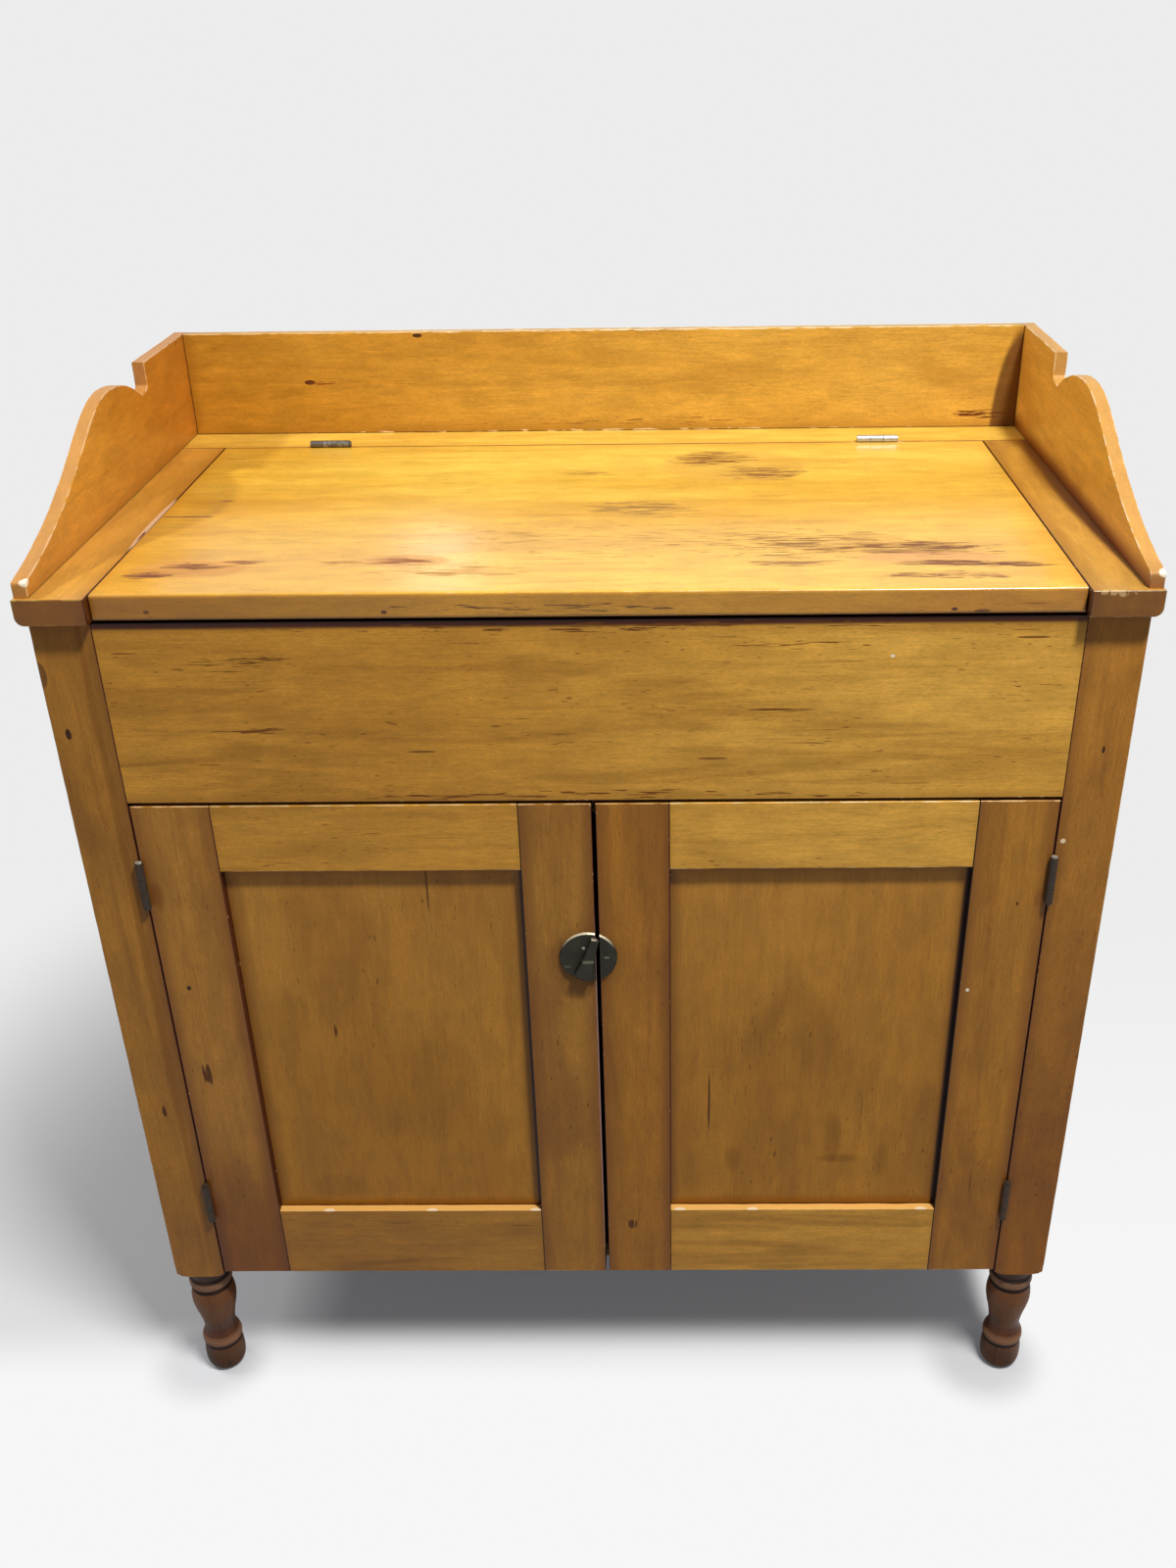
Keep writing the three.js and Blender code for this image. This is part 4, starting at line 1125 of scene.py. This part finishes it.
# A nodes tree that sets a slotted screw head on every point, turned as the point says
def buildScrewTree():
    tree = bpy.data.node_groups.new("slottedScrews", "GeometryNodeTree")
    kinds = {"Geometry": "Geometry", "Float": "Head Length Slot", "Int": "Sides", "Material": "Material"}
    addSockets(tree, "INPUT", kinds)
    addSockets(tree, "OUTPUT", {"Geometry": "Geometry"})
    start = addValues(tree, "NodeGroupInput")
    length = start["Length"]
    head = {"Vertices": start["Sides"], "Radius": start["Head"], "Depth": length}
    head = addValue(tree, "GeometryNodeMeshCylinder", head)
    size = addValue(tree, "ShaderNodeCombineXYZ", {"X": start["Head"] * 3.0, "Y": start["Slot"], "Z": length})
    cutter = addValue(tree, "GeometryNodeMeshCube", {"Size": size})
    rise = addValue(tree, "ShaderNodeCombineXYZ", {"Z": length * 0.6})
    raised = addValue(tree, "GeometryNodeTransform", {"Geometry": cutter, "Translation": rise})
    both = {"Mesh 1": head, "Mesh 2": raised}
    slotted = addValue(tree, "GeometryNodeMeshBoolean", both, operation="DIFFERENCE", solver="EXACT")
    named = {"Name": "turn"}
    turn = addValue(tree, "GeometryNodeInputNamedAttribute", named, "Attribute", data_type="FLOAT_VECTOR")
    turned = addValue(tree, "FunctionNodeEulerToRotation", {"Euler": turn})
    placed = addValue(tree, "GeometryNodeInstanceOnPoints", {
        "Points": start["Geometry"], "Instance": slotted, "Rotation": turned,
    })
    return endGeometry(tree, placed, start["Material"])


# Every screw head by the body and metal that it belongs to
def listScrews():
    s = screwPlan
    rows = {}

    def addScrew(body, metal, place, facing, slotTurn):
        facing = Vector(facing)
        turned = facing.to_track_quat("Z", "Y").to_matrix() @ Matrix.Rotation(math.radians(slotTurn), 3, "Z")
        middle = Vector(place) + facing * (s["proud"] - screwShape["Length"] / 2)
        rows.setdefault((body, metal), []).append((middle, turned.to_euler()))

    for hand, inward in (("left", 1), ("right", -1)):
        for level in ("upper", "lower"):
            name = f"{hand}_door_{level}_hinge"
            axis = middleOf(name + "_pin").x
            leaf = name + "_door_leaf"
            for step, inset, slotTurn in s["doorSteps"]:
                spot = (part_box(leaf)[1].y - s["fromEdge"] - inset, middleOf(leaf).z + step)
                for body, side in (("case", -inward), (hand + "_door", inward)):
                    place = (axis + side * s["leafGap"], *spot)
                    addScrew(body, "door", place, (-side, 0, 0), slotTurn + s["farTurn"] * (side > 0))
        axis = middleOf(f"lid_{hand}_hinge_pin").y
        leaf = f"lid_{hand}_hinge_lid_leaf"
        across, level = middleOf(leaf).x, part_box(leaf)[0].z + s["fromEdge"]
        for step, slotTurn in s["lidSteps"]:
            for body, side in (("case", 1), ("lid", -1)):
                place = (across + step, axis + side * s["leafGap"], level)
                addScrew(body, "lid_" + hand, place, (0, -side, 0), slotTurn)
    for hand, x, z, slotTurn in s["latch"]:
        addScrew(hand + "_door", "latch", (x, latchFace, z), (0, -1, 0), slotTurn)
    return rows


def buildScrews():
    tree = buildScrewTree()
    for (body, metal), screws in listScrews().items():
        points = bpy.data.meshes.new("screwPoints")
        points.from_pydata([place for place, _ in screws], [], [])
        turns = points.attributes.new("turn", "FLOAT_VECTOR", "POINT")
        turns.data.foreach_set("vector", [angle for _, turn in screws for angle in turn])
        name = f"{body}_{metal}_screws"
        made = meshFromTree(name, tree, dict(screwShape, Material=metals[metal]), points)
        addPiece(name, made, metals[metal], body, "latch_metal" if metal == "latch" else "hinge_iron")
    print("screws made")


buildScrews()

# Camera: where the photograph was taken from, in metres and degrees
photoCamera = {
    "place": (0.06216, -1.47301, 1.41958), "down": 29.39, "yaw": -0.87, "roll": -0.81,
    "focal": 34.076, "sensor": 36.0, "shift": (-0.0336, 0.02855),
}


def makeCamera():
    s = photoCamera
    down, yaw, roll = (math.radians(s[key]) for key in ("down", "yaw", "roll"))
    ahead = Vector((math.sin(yaw) * math.cos(down), math.cos(yaw) * math.cos(down), -math.sin(down)))
    level = Vector((math.cos(yaw), -math.sin(yaw), 0))
    upright = level.cross(ahead)
    right = level * math.cos(roll) + upright * math.sin(roll)
    up = upright * math.cos(roll) - level * math.sin(roll)
    data = bpy.data.cameras.new("camera")
    data.lens = s["focal"]
    data.sensor_width = s["sensor"]
    data.shift_x, data.shift_y = s["shift"]
    data.clip_end = 100
    camera = newObject("camera", data)
    turned = Matrix((right, up, -ahead)).transposed().to_4x4()
    camera.matrix_world = Matrix.Translation(s["place"]) @ turned
    bpy.context.scene.camera = camera


makeCamera()

# Studio light: a high lamp in front to the right, a second one straight from the left, a small one
# behind that shows as a pale patch in the lid, and a dim room
lamps = {
    "key": {"place": (0.85, -1.25, 3.2), "aim": (0, 0, 0.8), "size": (0.3, 0.3), "power": 80},
    "left": {"place": (-1.9, 0.12, 2.55), "aim": (0, 0, 0.95), "size": (0.12, 0.12), "power": 22},
    "patch": {"place": (-0.55, 2.5, 1.95), "aim": (-0.15, -0.1, 0.97), "size": (0.2, 0.42), "power": 0.42},
}
room = {
    "ambient": 0.12, "backdrop": "ECECEC", "near": "F6F6F6", "floorHalf": 30.0,
    "floorSeen": 0.8, "floorBounce": 0.42, "lift": 0.066, "liftTone": (0.86, 1.0, 1.2, 1),
    "right": (0.44, 0.5), "front": (-0.17, -0.28), "around": (0.66, 1.32), "atFoot": (0.035, 0.085),
    "footShadow": 0.02, "toneDepth": (0.9, -0.3), "softLamps": {"key": 0.8, "left": 1.1},
}


def addLamp(name, s, width, height):
    data = bpy.data.lights.new(name, "AREA")
    data.shape = "RECTANGLE"
    data.size, data.size_y = width, height
    data.energy = s["power"]
    lamp = newObject(name, data)
    lamp.location = s["place"]
    lamp.rotation_euler = (Vector(s["aim"]) - Vector(s["place"])).to_track_quat("-Z", "Y").to_euler()
    return lamp


def makeLight():
    for name, s in lamps.items():
        addLamp(name, s, *s["size"])
    world = bpy.data.worlds.new("room")
    bpy.context.scene.world = world
    world.use_nodes = True
    tree = world.node_tree
    plain = tree.nodes["Background"]
    fill(tree, plain, {"Color": (1, 1, 1, 1), "Strength": room["ambient"]})
    seen = addValue(tree, "ShaderNodeBackground", {"Color": tint(room["backdrop"]), "Strength": 1.0})
    rays = addValues(tree, "ShaderNodeLightPath")
    direct = rays["Is Camera Ray"].atLeast(rays["Is Glossy Ray"]).atLeast(rays["Is Transmission Ray"])
    both = {0: direct, 1: Value(tree, plain.outputs[0]), 2: seen}
    fill(tree, tree.nodes["World Output"], {"Surface": addValue(tree, "ShaderNodeMixShader", both)})


# Larger lamps of the same power light the floor alone, so that its shadows are soft, and the
# cabinet's own lamps pass it by
def softenFloorLight(floor):
    skipping = bpy.data.collections.new("all_but_floor")
    only = bpy.data.collections.new("floor_only")
    for group in (skipping, only):
        group.objects.link(floor)
    skipping.collection_objects[0].light_linking.link_state = "EXCLUDE"
    for name, width in room["softLamps"].items():
        bpy.data.objects[name].light_linking.receiver_collection = skipping
        addLamp(name + "_floor", lamps[name], width, width).light_linking.receiver_collection = only


# The floor takes the shadow under the cabinet, behind it and to its left, and turns into the
# backdrop's tone to the right, in front and farther away
def makeFloor():
    half = room["floorHalf"]
    corners = [(-half, -half, 0), (half, -half, 0), (half, half, 0), (-half, half, 0)]
    data = bpy.data.meshes.new("floor")
    data.from_pydata(corners, [], [(0, 1, 2, 3)])
    floor = newObject("floor", data)
    material, tree, spot = newMaterial("pale_floor")
    tree.nodes.remove(tree.nodes["Principled BSDF"])
    rays = addValues(tree, "ShaderNodeLightPath")
    camera = rays["Is Camera Ray"]
    albedo = camera * (room["floorSeen"] - room["floorBounce"]) + room["floorBounce"]
    grey = addValue(tree, "ShaderNodeCombineColor", {0: albedo, 1: albedo, 2: albedo})
    matt = addValue(tree, "ShaderNodeBsdfDiffuse", {"Color": grey})
    lift = {"Color": room["liftTone"], "Strength": camera * room["lift"]}
    near = addValue(tree, "ShaderNodeAddShader", {0: matt, 1: addValue(tree, "ShaderNodeEmission", lift)})
    axes = spot.axes()
    plain = axes["X"].ramp(*room["right"]).atLeast(axes["Y"].ramp(*room["front"]))
    for hand in ("left", "right"):
        post = middleOf(f"front_{hand}_post")
        foot = (post.x - room["footShadow"], post.y, 0)
        plain = plain * spot.vector("SUBTRACT", foot).vector("LENGTH").ramp(*room["atFoot"])
    away = spot.vector("MULTIPLY", (1.0, 1.0, 0.0)).vector("LENGTH")
    plain = plain.atLeast(away.ramp(*room["around"]))
    share = plain * camera.atLeast(rays["Is Glossy Ray"])
    tone = mixColour(tree, axes["Y"].ramp(*room["toneDepth"]), tint(room["backdrop"]), tint(room["near"]))
    far = addValue(tree, "ShaderNodeEmission", {"Color": tone, "Strength": 1.0})
    both = addValue(tree, "ShaderNodeMixShader", {0: share, 1: near, 2: far})
    fill(tree, tree.nodes["Material Output"], {"Surface": both})
    data.materials.append(material)
    softenFloorLight(floor)


makeLight()
makeFloor()
bpy.context.scene.view_settings.view_transform = "Standard"
print("camera, light and floor made")
